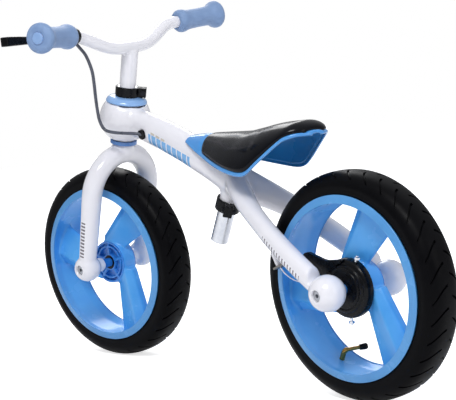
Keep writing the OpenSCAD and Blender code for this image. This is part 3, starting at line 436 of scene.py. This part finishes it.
# A blend is a centre, its reach and how often its skin is relaxed. The first
# half of that goes to the whole reach, the rest to its core.
def meltSkin(bm, name, grid, rounds, blends=(), coreShare=0.7):
    mesh = plainMesh(bm, name)
    holder = addObject(name, mesh)
    remesh = holder.modifiers.new("remesh", "REMESH")
    remesh.mode = "VOXEL"
    remesh.voxel_size = grid * mm
    graph = bpy.context.evaluated_depsgraph_get()
    skin = bmesh.new()
    skin.from_mesh(holder.evaluated_get(graph).to_mesh())
    bpy.data.objects.remove(holder)
    bpy.data.meshes.remove(mesh)
    relax(skin, skin.verts[:], rounds)
    for centre, reach, times in blends:
        near = [v for v in skin.verts if (v.co - centre).length < reach * mm]
        core = [v for v in near
                if (v.co - centre).length < coreShare * reach * mm]
        relax(skin, near, times // 2)
        relax(skin, core, times - times // 2)
    return skin


def relax(bm, verts, rounds):
    for _ in range(rounds):
        bmesh.ops.smooth_vert(bm, verts=verts, factor=0.5,
                              use_axis_x=True, use_axis_y=True,
                              use_axis_z=True)


# Curves and swept tubes
def smoothPath(points, steps):
    spots = [2 * points[0] - points[1], *points, 2 * points[-1] - points[-2]]
    path = []
    for a, b, c, d in zip(spots, spots[1:], spots[2:], spots[3:]):
        for k in range(steps):
            t = k / steps
            path.append(0.5 * (2 * b + (c - a) * t
                               + (2 * a - 5 * b + 4 * c - d) * t * t
                               + (3 * b - a - 3 * c + d) * t ** 3))
    return path + [points[-1]]


def roundCorner(before, spot, after, cut, steps=10):
    start = spot + (before - spot).normalized() * cut * mm
    end = spot + (after - spot).normalized() * cut * mm
    return [(1 - t) ** 2 * start + 2 * t * (1 - t) * spot + t * t * end
            for t in (k / steps for k in range(steps + 1))]


def bake(holder, name):
    graph = bpy.context.evaluated_depsgraph_get()
    mesh = bpy.data.meshes.new_from_object(holder.evaluated_get(graph))
    bpy.data.objects.remove(holder)
    mesh.name = name
    return mesh


def tubeMesh(name, path, radius, rounding=6, sharpAngle=50):
    curve = bpy.data.curves.new(name, "CURVE")
    curve.dimensions = "3D"
    curve.bevel_depth = radius * mm
    curve.bevel_resolution = rounding
    curve.use_fill_caps = True
    line = curve.splines.new("POLY")
    line.points.add(len(path) - 1)
    for spot, place in zip(line.points, path):
        spot.co = (*place, 1)
    mesh = bake(addObject(name, curve), name)
    mesh.materials.clear()
    mesh.shade_smooth()
    mesh.set_sharp_from_angle(angle=math.radians(sharpAngle))
    return mesh


# Brake cable: one smooth path, cut into an upper and a lower half
cableForm = dict(
    diameter=5, steps=3, middle=6,
    bends=((-28.1, 111, 128.2), (-26.1, 101, 122.2), (-29.1, 93, 111.2),
           (-34.1, 87, 99.2), (-34.1, 79, 77.2), (-28.1, 73, 57.2),
           (-20.1, 67, 37.2), (-13.1, 61, 17.2), (-8.1, 55, -0.8),
           (-11.1, 49, -14.8), (-25.1, 42, -19.8), (-41.1, 35, -21.8),
           (-55.1, 27.3, -23.3), (-63.1, 18, -25.8)))


def makeCable(form):
    bends = [headPoint + point(*bend) for bend in form["bends"]]
    path = smoothPath(bends, form["steps"])
    middle = form["middle"] * form["steps"]
    halves = (("upper_brake_cable", path[:middle + 1], "handlebar"),
              ("lower_brake_cable", path[middle:][::-1], "frame"))
    for name, route, body in halves:
        mesh = tubeMesh(name, route, form["diameter"] / 2)
        mesh.materials.append(materials["cableJacket"])
        half = addObject(name, mesh)
        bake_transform(half)
        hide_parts("brake_cable")


makeCable(cableForm)
print("cable made")


# Frame: head, beam, arms and ball ends in one blended skin
frameForm = dict(
    grid=1.8, rounds=5, neck=(443, 0, 368), neckReach=44, neckRounds=44,
    fork=(228, 0, 287), forkReach=50, forkRounds=30,
    stub=(240, 0, 262), stubReach=26, stubRounds=12)


def makeFrame(form):
    blends = [(point(*form["neck"]), form["neckReach"], form["neckRounds"]),
              (point(*form["fork"]), form["forkReach"], form["forkRounds"]),
              (point(*form["stub"]), form["stubReach"], form["stubRounds"])]
    nodes = ["head_shell", "main_tube", "left_arm", "right_arm", "seat_tube",
             "left_rear_end", "right_rear_end"]
    skin = meltNodes("frameSkin", nodes, form["grid"], form["rounds"], blends)
    addPiece("frame_skin", storeMesh(skin, "frameSkin"), "frame",
             "frameEnamel", nodes)


makeFrame(frameForm)
print("frame skin made")


# Fork: crown, legs and ball ends in one blended skin
forkForm = dict(grid=1.5, rounds=5, crown=(0, 0, -58), crownReach=34,
                crownRounds=16)


def makeFork(form):
    nodes = ["fork_crown", "left_fork_leg", "right_fork_leg",
             "left_fork_end", "right_fork_end"]
    blends = [(forkPlace @ point(*form["crown"]), form["crownReach"],
               form["crownRounds"])]
    skin = meltNodes("forkSkin", nodes, form["grid"], form["rounds"], blends)
    addPiece("fork_skin", storeMesh(skin, "forkSkin"), "fork", "forkEnamel",
             nodes)


makeFork(forkForm)
print("fork skin made")


# Handlebar: a bent bar welded to its stem
barForm = dict(
    radius=9.5, stem=12.7, stemDown=34, stemUp=107.5, rise=111.5, knee=42,
    bend=(16, 104, 135.5), run=109, sweep=12, slope=6, kneeCut=26,
    bendCut=14, grid=1.3, rounds=4, bead=17, beadRounds=10)


# Z runs out along the left grip from the last bend.
def gripAxis(form):
    return (shift(*form["bend"]) @ turn(form["sweep"], "Z")
            @ turn(form["slope"] - 90, "X"))


def makeBar(form):
    middle = point(0, 0, form["rise"])
    knee = point(0, form["knee"], form["rise"])
    bend = point(*form["bend"])
    tip = gripAxis(form) @ point(0, 0, form["run"])
    half = [*roundCorner(middle, knee, bend, form["kneeCut"]),
            *roundCorner(knee, bend, tip, form["bendCut"]), tip]
    flipped = [Vector((v.x, -v.y, v.z)) for v in reversed(half)]
    stem = [point(0, 0, -form["stemDown"]), point(0, 0, form["stemUp"])]
    bm = bmesh.new()
    bm.from_mesh(tubeMesh("bar", flipped + [middle] + half, form["radius"]))
    bm.from_mesh(tubeMesh("stem", stem, form["stem"], rounding=14))
    bm.transform(barPlace)
    skin = meltSkin(bm, "handlebarSkin", form["grid"], form["rounds"],
                    [(barPlace @ middle, form["bead"], form["beadRounds"])])
    addPiece("handlebar_skin", storeMesh(skin, "handlebarSkin"), "handlebar",
             "bakedWhiteEnamel", ["handlebar"])


makeBar(barForm)
print("handlebar made")


# Profiles are points of radius and height, for one half where both are
# alike.
def mirrored(profile):
    return [(radius, -height) for radius, height in reversed(profile)]


# Wheels: rim, three swirling spokes and hub barrel in one filleted casting.
# A spoke's stations are reach, width and thickness.
wheelForm = dict(
    grid=1.8, rounds=7,
    rim=((117.2, 16), (113, 30), (112, 31.5), (123.3, 28.8), (123.3, 26.2),
         (119.8, 25.9)),
    lip=((111.75, 31.75), (123.55, 29.05), (122.7, 27.2), (114.4, 28.9),
         (112.75, 29.5)), lipRound=1.1,
    spokes=3, spoke=((14, 36, 25.38), (83.844, 55.84, 30),
                     (118.2, 66.64, 33.9)),
    shift=23, ridge=0.28, edge=11, hub=34.4, hubHigh=26, pitRadius=30.6,
    pitShare=0.4444, steps=144, hubSteps=72)
wheelTurns = dict(front=144, rear=127)


def spokeRing(form, reach, width, thick):
    lead = -form["shift"] - width / 2
    trail = -form["shift"] + width / 2
    ridge = lead + form["ridge"] * width
    edge = form["edge"] / 2
    return [point(reach, lead, -edge), point(reach, ridge, -thick / 2),
            point(reach, trail, -edge / 2), point(reach, trail, edge / 2),
            point(reach, ridge, thick / 2), point(reach, lead, edge)]


def addSpoke(bm, form, angle):
    loops = []
    for station in form["spoke"]:
        ring = [bm.verts.new(turn(angle, "Z") @ spot)
                for spot in spokeRing(form, *station)]
        loops.append([bm.edges.new(pair)
                      for pair in zip(ring, ring[1:] + ring[:1])])
    for loop, nextLoop in zip(loops, loops[1:]):
        bmesh.ops.bridge_loops(bm, edges=loop + nextLoop)
    bmesh.ops.holes_fill(bm, edges=loops[0] + loops[-1], sides=6)


def makeWheel(form, node, body, angle, place):
    bm = spinProfile([*form["rim"], *mirrored(form["rim"])],
                     Matrix.Identity(4), form["steps"])
    for k in range(form["spokes"]):
        addSpoke(bm, form, angle + 360 / form["spokes"] * k)
    bmesh.ops.create_cone(bm, cap_ends=True, segments=form["hubSteps"],
                          radius1=form["hub"] * mm,
                          radius2=form["hub"] * mm,
                          depth=form["hubHigh"] * mm)
    bmesh.ops.recalc_face_normals(bm, faces=bm.faces)
    skin = meltSkin(bm, body + "Casting", form["grid"], form["rounds"])
    for vert in skin.verts:
        if vert.co.xy.length < form["pitRadius"] * mm:
            vert.co.z *= form["pitShare"]
    skin.transform(place)
    addPiece(body + "_casting", storeMesh(skin, body + "Casting"), body,
             "paintedFillCastingNylon", [node])
    # The lip rings take a darker copy of the casting's nylon, as painted
    # shade; the casting's lighter copy is painted fill light.
    for side, name in ((1, "left"), (-1, "right")):
        profile = [(radius, side * height) for radius, height in form["lip"]]
        lip = spinProfile(profile, place, form["steps"], form["lipRound"],
                          rounds=3)
        mesh = storeMesh(lip, body + name + "Lip", sharpAngle=60)
        addPiece(f"{body}_{name}_lip", mesh, body, "paintedShadeLipNylon")


# Hub: an outer ring, a groove, a second ring and five pockets round the boss
hubForm = dict(
    profile=((11.1, 13), (13.4, 13), (13.4, 6.4), (24, 6.4), (24, 13.2),
             (26.6, 13.2), (26.6, 6.4), (30.4, 6.4), (30.4, 13.6),
             (33.6, 13.6), (33.6, 11.6)), soften=0.5,
    ribs=5, ribSize=(19.2, 4.4, 6.8), ribAt=(21.9, 9.5), ribRound=0.6,
    screw=2.6, screwAt=(24.6, 12.1), screwSteps=20)


def makeHub(form, body, place):
    bm = spinProfile([*form["profile"], *mirrored(form["profile"])],
                     Matrix.Identity(4), soften=form["soften"])
    spots = [(side, turn(360 / form["ribs"] * k, "Z"))
             for side in (1, -1) for k in range(form["ribs"])]
    for side, around in spots:
        reach, height = form["ribAt"]
        box = bmesh.ops.create_cube(
            bm, size=mm, matrix=around @ shift(reach, 0, side * height)
            @ Matrix.Diagonal((*form["ribSize"], 1)))
        edges = {e for v in box["verts"] for e in v.link_edges}
        bmesh.ops.bevel(bm, geom=list(edges), offset=form["ribRound"] * mm,
                        segments=2, profile=0.5, affect="EDGES", material=-1)
        reach, height = form["screwAt"]
        bmesh.ops.create_cone(
            bm, cap_ends=True, segments=form["screwSteps"],
            radius1=form["screw"] * mm, radius2=form["screw"] * mm,
            depth=form["screw"] * mm,
            matrix=around @ shift(reach, 0, side * height))
    bm.transform(place)
    mesh = storeMesh(bm, body + "Hub", sharpAngle=45)
    # The hub's deeper blue is painted shade.
    addPiece(body + "_hub", mesh, body, "paintedShadeHubNylon")


makeWheel(wheelForm, "front_wheel", "front_wheel", wheelTurns["front"],
          frontHubPlace)
makeWheel(wheelForm, "rear_wheel", "rear_wheel", wheelTurns["rear"],
          rearHubPlace)
makeHub(hubForm, "front_wheel", frontHubPlace @ turn(20, "Z"))
makeHub(hubForm, "rear_wheel", rearHubPlace)
print("wheels made")


# Tyres: a spun carcass with slanting grooves pressed into its shoulders
tyreForm = dict(
    profile=((152.5, 0), (152.45, 3.2), (152.3, 6.6), (152, 9.6),
             (151.4, 12.8), (150.4, 16), (148.9, 19), (146.7, 21.8),
             (143.7, 24.2), (140.1, 26.2), (136, 27.7), (132, 27.7),
             (127.8, 27.2), (125.2, 27.5), (123.8, 26.8), (121, 23.7)),
    halfWidth=27.7, pitches=34, columns=8, grooved=(3.2, 24), swing=11.2,
    grooveSlope=0.45, grooveDepth=2.4)


def makeTyre(form, node, body, place):
    bm = bmesh.new()
    profile = mirrored(form["profile"]) + list(form["profile"][1:])
    verts = [bm.verts.new(point(r, 0, h)) for r, h in profile]
    edges = [bm.edges.new(pair) for pair in zip(verts, verts[1:])]
    columns = form["columns"]
    bmesh.ops.spin(bm, geom=verts + edges, axis=(0, 0, 1), cent=(0, 0, 0),
                   angle=math.tau, steps=form["pitches"] * columns,
                   use_merge=True)
    bmesh.ops.remove_doubles(bm, verts=bm.verts, dist=weld)
    bmesh.ops.recalc_face_normals(bm, faces=bm.faces)
    # One column of each pitch is a groove, half a pitch on at the far side.
    grooved = []
    pitch = math.tau / form["pitches"]
    near, far = form["grooved"]
    for face in bm.faces:
        middle = face.calc_center_median()
        if not near < abs(middle.z) / mm < far:
            continue
        around = math.atan2(middle.y, middle.x) / pitch
        side = 0 if middle.z > 0 else 0.5
        if math.floor((around + side) % 1 * columns) == 0:
            grooved.append(face)
    for vert in bm.verts:
        across = vert.co.z / (form["halfWidth"] * mm)
        swing = math.radians(form["swing"]) * across * across
        vert.co = Matrix.Rotation(swing, 3, "Z") @ vert.co
    bmesh.ops.inset_region(bm, faces=grooved,
                           thickness=form["grooveSlope"] * mm,
                           depth=-form["grooveDepth"] * mm,
                           use_even_offset=True)
    bm.transform(place)
    mesh = storeMesh(bm, body + "Cover", sharpAngle=35)
    addPiece(body + "_cover", mesh, body, "tyreRubber", [node])


makeTyre(tyreForm, "front_tyre", "front_wheel", frontHubPlace)
makeTyre(tyreForm, "rear_tyre", "rear_wheel", rearHubPlace)
print("tyres made")


# Grips: moulded over the bar ends, with a guard flange and end plug
gripForm = dict(
    grip=((9.6, 21), (12.8, 21), (15.2, 22.2), (17.6, 25.6), (18.4, 29.6),
          (18.1, 33), (16.8, 38), (15.7, 44), (15.4, 51), (15.15, 61),
          (15.3, 79), (15.8, 85), (17.6, 90.4), (20.4, 94.6), (21.6, 98),
          (22, 100.8), (21.6, 104), (20, 106.8), (16.6, 108.7),
          (10, 109.6), (9, 108.8), (9.6, 107.6)),
    plug=((0, 107.8), (8.6, 107.8), (8.6, 110.2), (8, 111), (5.6, 111.3),
          (0, 111.4)), steps=72)


def makeGrip(form, name, node, side):
    place = barPlace @ Matrix.Scale(side, 4, (0, 1, 0)) @ gripAxis(barForm)
    parts = (("grip", "softGripRubber", "blue_rubber", node),
             ("plug", "gripPlugRubber", "white_plastic", "grip_plugs"))
    for word, finish, slot, replaced in parts:
        bm = spinProfile(form[word], place, form["steps"])
        if side < 0:
            bmesh.ops.recalc_face_normals(bm, faces=bm.faces)
        mesh = storeMesh(bm, name + word, sharpAngle=50)
        addPiece(f"{name}_hand_{word}", mesh, "handlebar", finish,
                 [replaced])


makeGrip(gripForm, "left", "left_grip", 1)
makeGrip(gripForm, "right", "right_grip", -1)
print("grips made")


# Small cast and forged pieces, with their edges rounded over
smallForm = dict(
    pieces=(("stem_collar", "fork", 0.8, 3),
            ("seat_clamp", "frame", 0.8, 3),
            ("lever_bracket", "handlebar", 0.7, 2),
            ("brake_lever", "brake_lever", 0.8, 4)))


def makeSmall(form):
    for node, body, grid, rounds in form["pieces"]:
        skin = meltNodes(node + "Skin", [node], grid, rounds)
        mesh = storeMesh(skin, node + "Skin", sharpAngle=50)
        addPiece(node + "_skin", mesh, body, "blackPowderCoat",
                 [node])


makeSmall(smallForm)


# Dust cap: a dished cover over the top of the head
capForm = dict(
    profile=((15.1, 25.4), (32, 25.4), (32, 27), (30.6, 29.8), (27.8, 32.3),
             (23.6, 33.9), (18.5, 34.7), (15.1, 34.7)), soften=0.6)


def makeCap(form):
    bm = spinProfile(form["profile"], forkPlace, soften=form["soften"],
                     rounds=3)
    addPiece("dust_cap_skin", storeMesh(bm, "dustCap", sharpAngle=50), "fork",
             "lightBlueAbs", ["dust_cap"])


makeCap(capForm)


# Brake cover: a stepped steel dish with an arm that runs under the frame
coverForm = dict(
    profile=((39.5, 14.1), (39.5, 21), (38.7, 24), (36.5, 26), (33, 26.8),
             (32, 26.8), (31, 28.8), (29, 29.4), (27.5, 29.4), (26.9, 28.6),
             (25.9, 28.6), (25.1, 29.7), (22.5, 30), (7.5, 30), (7.5, 26.4),
             (30.5, 25.4), (36.9, 22), (36.9, 14.1)), soften=0.7,
    arm=((-4, -39), (30, -36), (64, -46), (72, -40), (70, -30), (36, -14)),
    armLow=24, armHigh=29.6, cornerRound=6, cornerRounds=5)


def makeCover(form, place):
    bm = spinProfile(form["profile"], Matrix.Identity(4),
                     soften=form["soften"])
    low = [bm.verts.new(point(x, y, form["armLow"])) for x, y in form["arm"]]
    base = bm.faces.new(low)
    raised = bmesh.ops.extrude_face_region(bm, geom=[base])["geom"]
    tops = [v for v in raised if isinstance(v, bmesh.types.BMVert)]
    thick = form["armHigh"] - form["armLow"]
    bmesh.ops.translate(bm, verts=tops, vec=point(0, 0, thick))
    uprights = [e for v in low for e in v.link_edges
                if e.other_vert(v) in tops]
    bmesh.ops.bevel(bm, geom=uprights, offset=form["cornerRound"] * mm,
                    segments=form["cornerRounds"], profile=0.5,
                    affect="EDGES", material=-1, clamp_overlap=True)
    bmesh.ops.recalc_face_normals(bm, faces=bm.faces)
    bm.transform(place)
    addPiece("brake_cover_skin", storeMesh(bm, "brakeCover"), "frame",
             "blackPowderCoat", ["brake_cover"])


makeCover(coverForm, shift(0, 0, bike["axleHeight"]) @ turn(-90, "X"))
print("small parts made")


# Seat: a moulded shell with a rolled rim, under a padded cover. A station
# is its place, the ridge's height, the half width and the rim's height.
seatForm = dict(
    stations=((306, 354, 19.7, 343), (292, 355, 23.2, 336),
              (280, 355.5, 25.5, 330), (262, 355.5, 29.6, 323),
              (239, 355.5, 37.7, 316), (210, 355.5, 47.6, 309),
              (180, 356, 55.1, 303), (156, 359.7, 58, 300),
              (140, 362.4, 58, 303), (124, 365.4, 55.7, 314),
              (104, 368.1, 49.9, 329), (84, 369.3, 43.5, 343.5),
              (75, 369.6, 38.6, 347.6), (68, 367, 32.4, 349.8),
              (62.4, 362.6, 25.4, 350.6), (58.6, 357.4, 17.5, 350.4)),
    nose=((309.4, 0.45), (309.1, 0.76), (308.3, 0.94)),
    tail=((57.2, 0.74), (56.4, 0.42)), steps=4, inner=26,
    archWide=0.85, archRise=0.9, fine=180,
    edge=(0, 0.9, 2, 3.2, 4.3, 5.3, 6.4, 8.4, 12), edgeShare=0.3,
    beadWide=5.1, bead=1, beadCurve=0.7, recess=2.6, recessEdge=1.2,
    crown=1, shoulder=6, shell=2.6, tailShell=0.35, tailNarrow=2.2,
    taper=26, padNose=269, padTail=2.5, padColumn=5, padUnder=0.3,
    pressure=5, cap=2.2, frames=16)


# Beyond the end stations the ridge and width shrink towards the rim.
def shrunk(ends, station):
    ridge, half, rim = station[1:]
    return [Vector((place, rim + (ridge - rim) * size, half * size, rim))
            for place, size in ends]


def seatStations(form):
    stations = form["stations"]
    return smoothPath(shrunk(form["nose"], stations[0])
                      + [Vector(station) for station in stations]
                      + shrunk(form["tail"], stations[-1]), form["steps"])


def archPoint(form, station, angle):
    place, ridge, half, rim = station
    across, rise = math.cos(angle), max(math.sin(angle), 0)
    aside = math.copysign(half * abs(across) ** form["archWide"], across)
    return point(place, -aside, rim + (ridge - rim) * rise ** form["archRise"])


# One row across the seat: points, and how far each lies from the rim.
def seatRow(form, station):
    count = form["fine"]
    fine = [archPoint(form, station, math.pi * k / count)
            for k in range(count + 1)]
    walked = [0]
    for a, b in zip(fine, fine[1:]):
        walked.append(walked[-1] + (b - a).length / mm)
    total = walked[-1]
    fit = min(1, form["edgeShare"] * total / form["edge"][-1])
    near = [d * fit for d in form["edge"]]
    gap = (total - 2 * near[-1]) / (form["inner"] + 1)
    middle = [near[-1] + gap * (k + 1) for k in range(form["inner"])]
    stops = near + middle + [total - d for d in reversed(near)]
    toTail = (station[0] - form["tail"][-1][0]) * form["tailNarrow"]
    row = []
    for stop in stops:
        k = 0
        while k < count - 1 and walked[k + 1] < stop:
            k += 1
        share = (stop - walked[k]) / max(walked[k + 1] - walked[k], 1e-9)
        row.append((fine[k].lerp(fine[k + 1], max(0, min(share, 1))),
                    min(stop, total - stop, toTail), station[0]))
    return row


def seatNormals(rows):
    last, edge = len(rows) - 1, len(rows[0]) - 1
    normals = []
    for i, row in enumerate(rows):
        line = []
        for j in range(edge + 1):
            along = (rows[min(i + 1, last)][j][0]
                     - rows[max(i - 1, 0)][j][0])
            across = row[min(j + 1, edge)][0] - row[max(j - 1, 0)][0]
            line.append(across.cross(along).normalized())
        normals.append(line)
    return normals


# Two skins over the rows, joined all round their edge. Upper and lower tell
# how far they lie from the rows.
def seatSolid(rows, normals, upper, lower):
    high, wide = len(rows) - 1, len(rows[0]) - 1
    bm = bmesh.new()
    bmesh.ops.create_grid(bm, x_segments=wide, y_segments=high, size=0.5)
    tops = bm.verts[:]
    under = bmesh.ops.extrude_face_region(bm, geom=bm.faces[:])["geom"]
    bottoms = [v for v in under if isinstance(v, bmesh.types.BMVert)]
    # Underside faces take the second material; on the seat shell that is its
    # painted shade.
    for face in under:
        if isinstance(face, bmesh.types.BMFace):
            face.material_index = 1
    for verts, lift in ((tops, upper), (bottoms, lower)):
        for vert in verts:
            i = round((vert.co.y + 0.5) * high)
            j = round((vert.co.x + 0.5) * wide)
            spot, away, place = rows[i][j]
            vert.co = spot + normals[i][j] * lift(away, place) * mm
    bmesh.ops.recalc_face_normals(bm, faces=bm.faces)
    return bm, tops


def smoothMesh(holder, name, levels=1):
    smooth = holder.modifiers.new("smooth", "SUBSURF")
    smooth.levels = smooth.render_levels = levels
    mesh = bake(holder, name)
    mesh.shade_smooth()
    return mesh


def padShare(form, away, place):
    inside = min((away - form["beadWide"]) / form["recessEdge"],
                 form["padNose"] - place)
    return max(0, min(1, inside))


def makeShell(form, rows, normals):
    def upper(away, place):
        roll = max(0, math.sin(math.pi * min(away / form["beadWide"], 1)))
        return (form["bead"] * roll ** form["beadCurve"]
                - form["recess"] * padShare(form, away, place))

    def lower(away, place):
        inside = (place - form["tail"][-1][0]) / form["taper"]
        thin = min(1, form["tailShell"] + inside)
        return (-form["shell"] * thin
                - form["recess"] * padShare(form, away, place))

    bm = seatSolid(rows, normals, upper, lower)[0]
    holder = addObject("seatShell", plainMesh(bm, "seatShell"))
    # The second material, a darker blue on the underside, is painted shade.
    for finish in ("seatBlueAbs", "paintedShadeSeatAbs"):
        holder.data.materials.append(materials[finish])
    mesh = smoothMesh(holder, "seatShell")
    addPiece("seat_saddle_shell", mesh, "seat", "seatBlueAbs",
             ["seat_shell"])


def makePad(form, rows, normals):
    edge = form["padColumn"]
    tail = form["tail"][-1][0] + form["padTail"]
    kept = [i for i, row in enumerate(rows)
            if tail <= row[0][2] <= form["padNose"]]
    rows = [rows[i][edge:-edge] for i in kept]
    normals = [normals[i][edge:-edge] for i in kept]
    front, back = rows[0][0][2], rows[-1][0][2]

    def upper(away, place):
        inside = min(away - form["beadWide"], front - place, place - back)
        slope = 1 - max(0, min(1, inside / form["shoulder"]))
        height = form["recess"] + form["crown"]
        return height * math.sqrt(1 - slope * slope) - form["recess"]

    def lower(away, place):
        return -form["recess"] - form["padUnder"]

    bm, tops = seatSolid(rows, normals, upper, lower)
    bm.verts.index_update()
    loose = {v.index for v in tops}
    held = [v.index for v in bm.verts if v.index not in loose]
    pad = addObject("seatPad", plainMesh(bm, "seatPad"))
    swell(pad, form, held)
    mesh = smoothMesh(pad, "seatPad")
    piece = addPiece("seat_padding", mesh, "seat", "blackLeathercloth",
                     ["seat_pad"])


# Air pressure under the cloth fills the pad, its underside held.
def swell(pad, form, held):
    rest = [v.co.copy() for v in pad.data.vertices]
    group = pad.vertex_groups.new(name="held")
    group.add(held, 1, "REPLACE")
    cloth = pad.modifiers.new("cloth", "CLOTH")
    cloth.settings.vertex_group_mass = "held"
    cloth.settings.use_pressure = True
    cloth.settings.uniform_pressure_force = form["pressure"]
    cloth.settings.effector_weights.gravity = 0
    scene = bpy.context.scene
    for number in range(1, form["frames"] + 1):
        scene.frame_set(number)
    graph = bpy.context.evaluated_depsgraph_get()
    blown = [v.co.copy() for v in pad.evaluated_get(graph).data.vertices]
    pad.modifiers.remove(cloth)
    for vert, start, end in zip(pad.data.vertices, rest, blown):
        move = end - start
        if move.length > form["cap"] * mm:
            move = move.normalized() * form["cap"] * mm
        vert.co = start + move
    scene.frame_set(1)


def makeSeat(form):
    rows = [seatRow(form, station) for station in seatStations(form)]
    normals = seatNormals(rows)
    if normals[len(rows) // 2][len(rows[0]) // 2].z < 0:
        normals = [[-n for n in line] for line in normals]
    makeShell(form, rows, normals)
    makePad(form, rows, normals)


makeSeat(seatForm)
print("seat made")


# Floor, lamps and backdrop
studio = dict(
    floorSize=9000, floorGlow=0.68, reflected=0.2,
    sky=(0.93, 0.95, 1, 1), skyTop=0.8, skyLow=0.16, skyHigh=0.72,
    aim=(200, 0, 300), lamps=dict(
        key=dict(place=(-900, 1400, 2200), size=(900, 600), power=32),
        fill=dict(place=(-2000, -600, 900), size=(1200, 1200), power=6),
        rim=dict(place=(1800, -1200, 1600), size=(1000, 1000), power=12)))


# Rays that see the white backdrop. Reflections see it fainter, so that
# chrome and gloss black keep their contrast against it.
def backdropRays(holder, reflected):
    path = addNode(holder, "LightPath")
    seen = addNode(holder, "Math", {"operation": "MAXIMUM"},
                   {0: path.outputs["Is Camera Ray"],
                    1: path.outputs["Is Transmission Ray"]}).outputs[0]
    faint = addNode(holder, "Math", {"operation": "MULTIPLY", 1: reflected},
                    {0: path.outputs["Is Glossy Ray"]}).outputs[0]
    return addNode(holder, "Math", {"operation": "MAXIMUM"},
                   {0: seen, 1: faint}).outputs[0]


def makeFloor(data):
    bm = bmesh.new()
    bmesh.ops.create_grid(bm, x_segments=1, y_segments=1,
                          size=data["floorSize"] * mm / 2)
    floor = addObject("floor", plainMesh(bm, "floor"))
    material = bpy.data.materials.new("paleFloor")
    material.use_nodes = True
    material.node_tree.nodes.clear()
    seen = backdropRays(material, data["reflected"])
    glow = addNode(material, "Math", {"operation": "MULTIPLY",
                                      1: data["floorGlow"]}, {0: seen})
    shader = addNode(material, "BsdfPrincipled",
                     {"Base Color": (1, 1, 1, 1), "Roughness": 0.9,
                      "Specular IOR Level": 0,
                      "Emission Color": (1, 1, 1, 1)},
                     {"Emission Strength": glow.outputs[0]})
    addNode(material, "OutputMaterial", links={0: shader.outputs[0]})
    floor.data.materials.append(material)


makeFloor(studio)


def makeLamps(data):
    aim = point(*data["aim"])
    for name, lamp in data["lamps"].items():
        light = bpy.data.lights.new(name, "AREA")
        light.shape = "RECTANGLE"
        light.size, light.size_y = point(*lamp["size"])
        light.energy = lamp["power"]
        facing = (aim - point(*lamp["place"])).to_track_quat("-Z", "Y")
        addObject(name, light).matrix_world = (
            shift(*lamp["place"]) @ facing.to_matrix().to_4x4())


makeLamps(studio)


def makeSky(data):
    world = bpy.data.worlds.new("studio")
    bpy.context.scene.world = world
    world.use_nodes = True
    world.node_tree.nodes.clear()
    where = addNode(world, "TexCoord").outputs["Generated"]
    rise = addNode(world, "SeparateXYZ", links={0: where}).outputs["Z"]
    strength = addNode(world, "MapRange",
                       {"From Max": data["skyTop"], "To Min": data["skyLow"],
                        "To Max": data["skyHigh"]}, {"Value": rise})
    light = addNode(world, "Background", {"Color": data["sky"]},
                    {"Strength": strength.outputs[0]})
    white = addNode(world, "Background", {"Color": (1, 1, 1, 1)})
    shown = addNode(world, "MixShader",
                    links={0: backdropRays(world, data["reflected"]),
                           1: light.outputs[0], 2: white.outputs[0]})
    addNode(world, "OutputWorld", links={0: shown.outputs[0]})


makeSky(studio)
print("studio made")
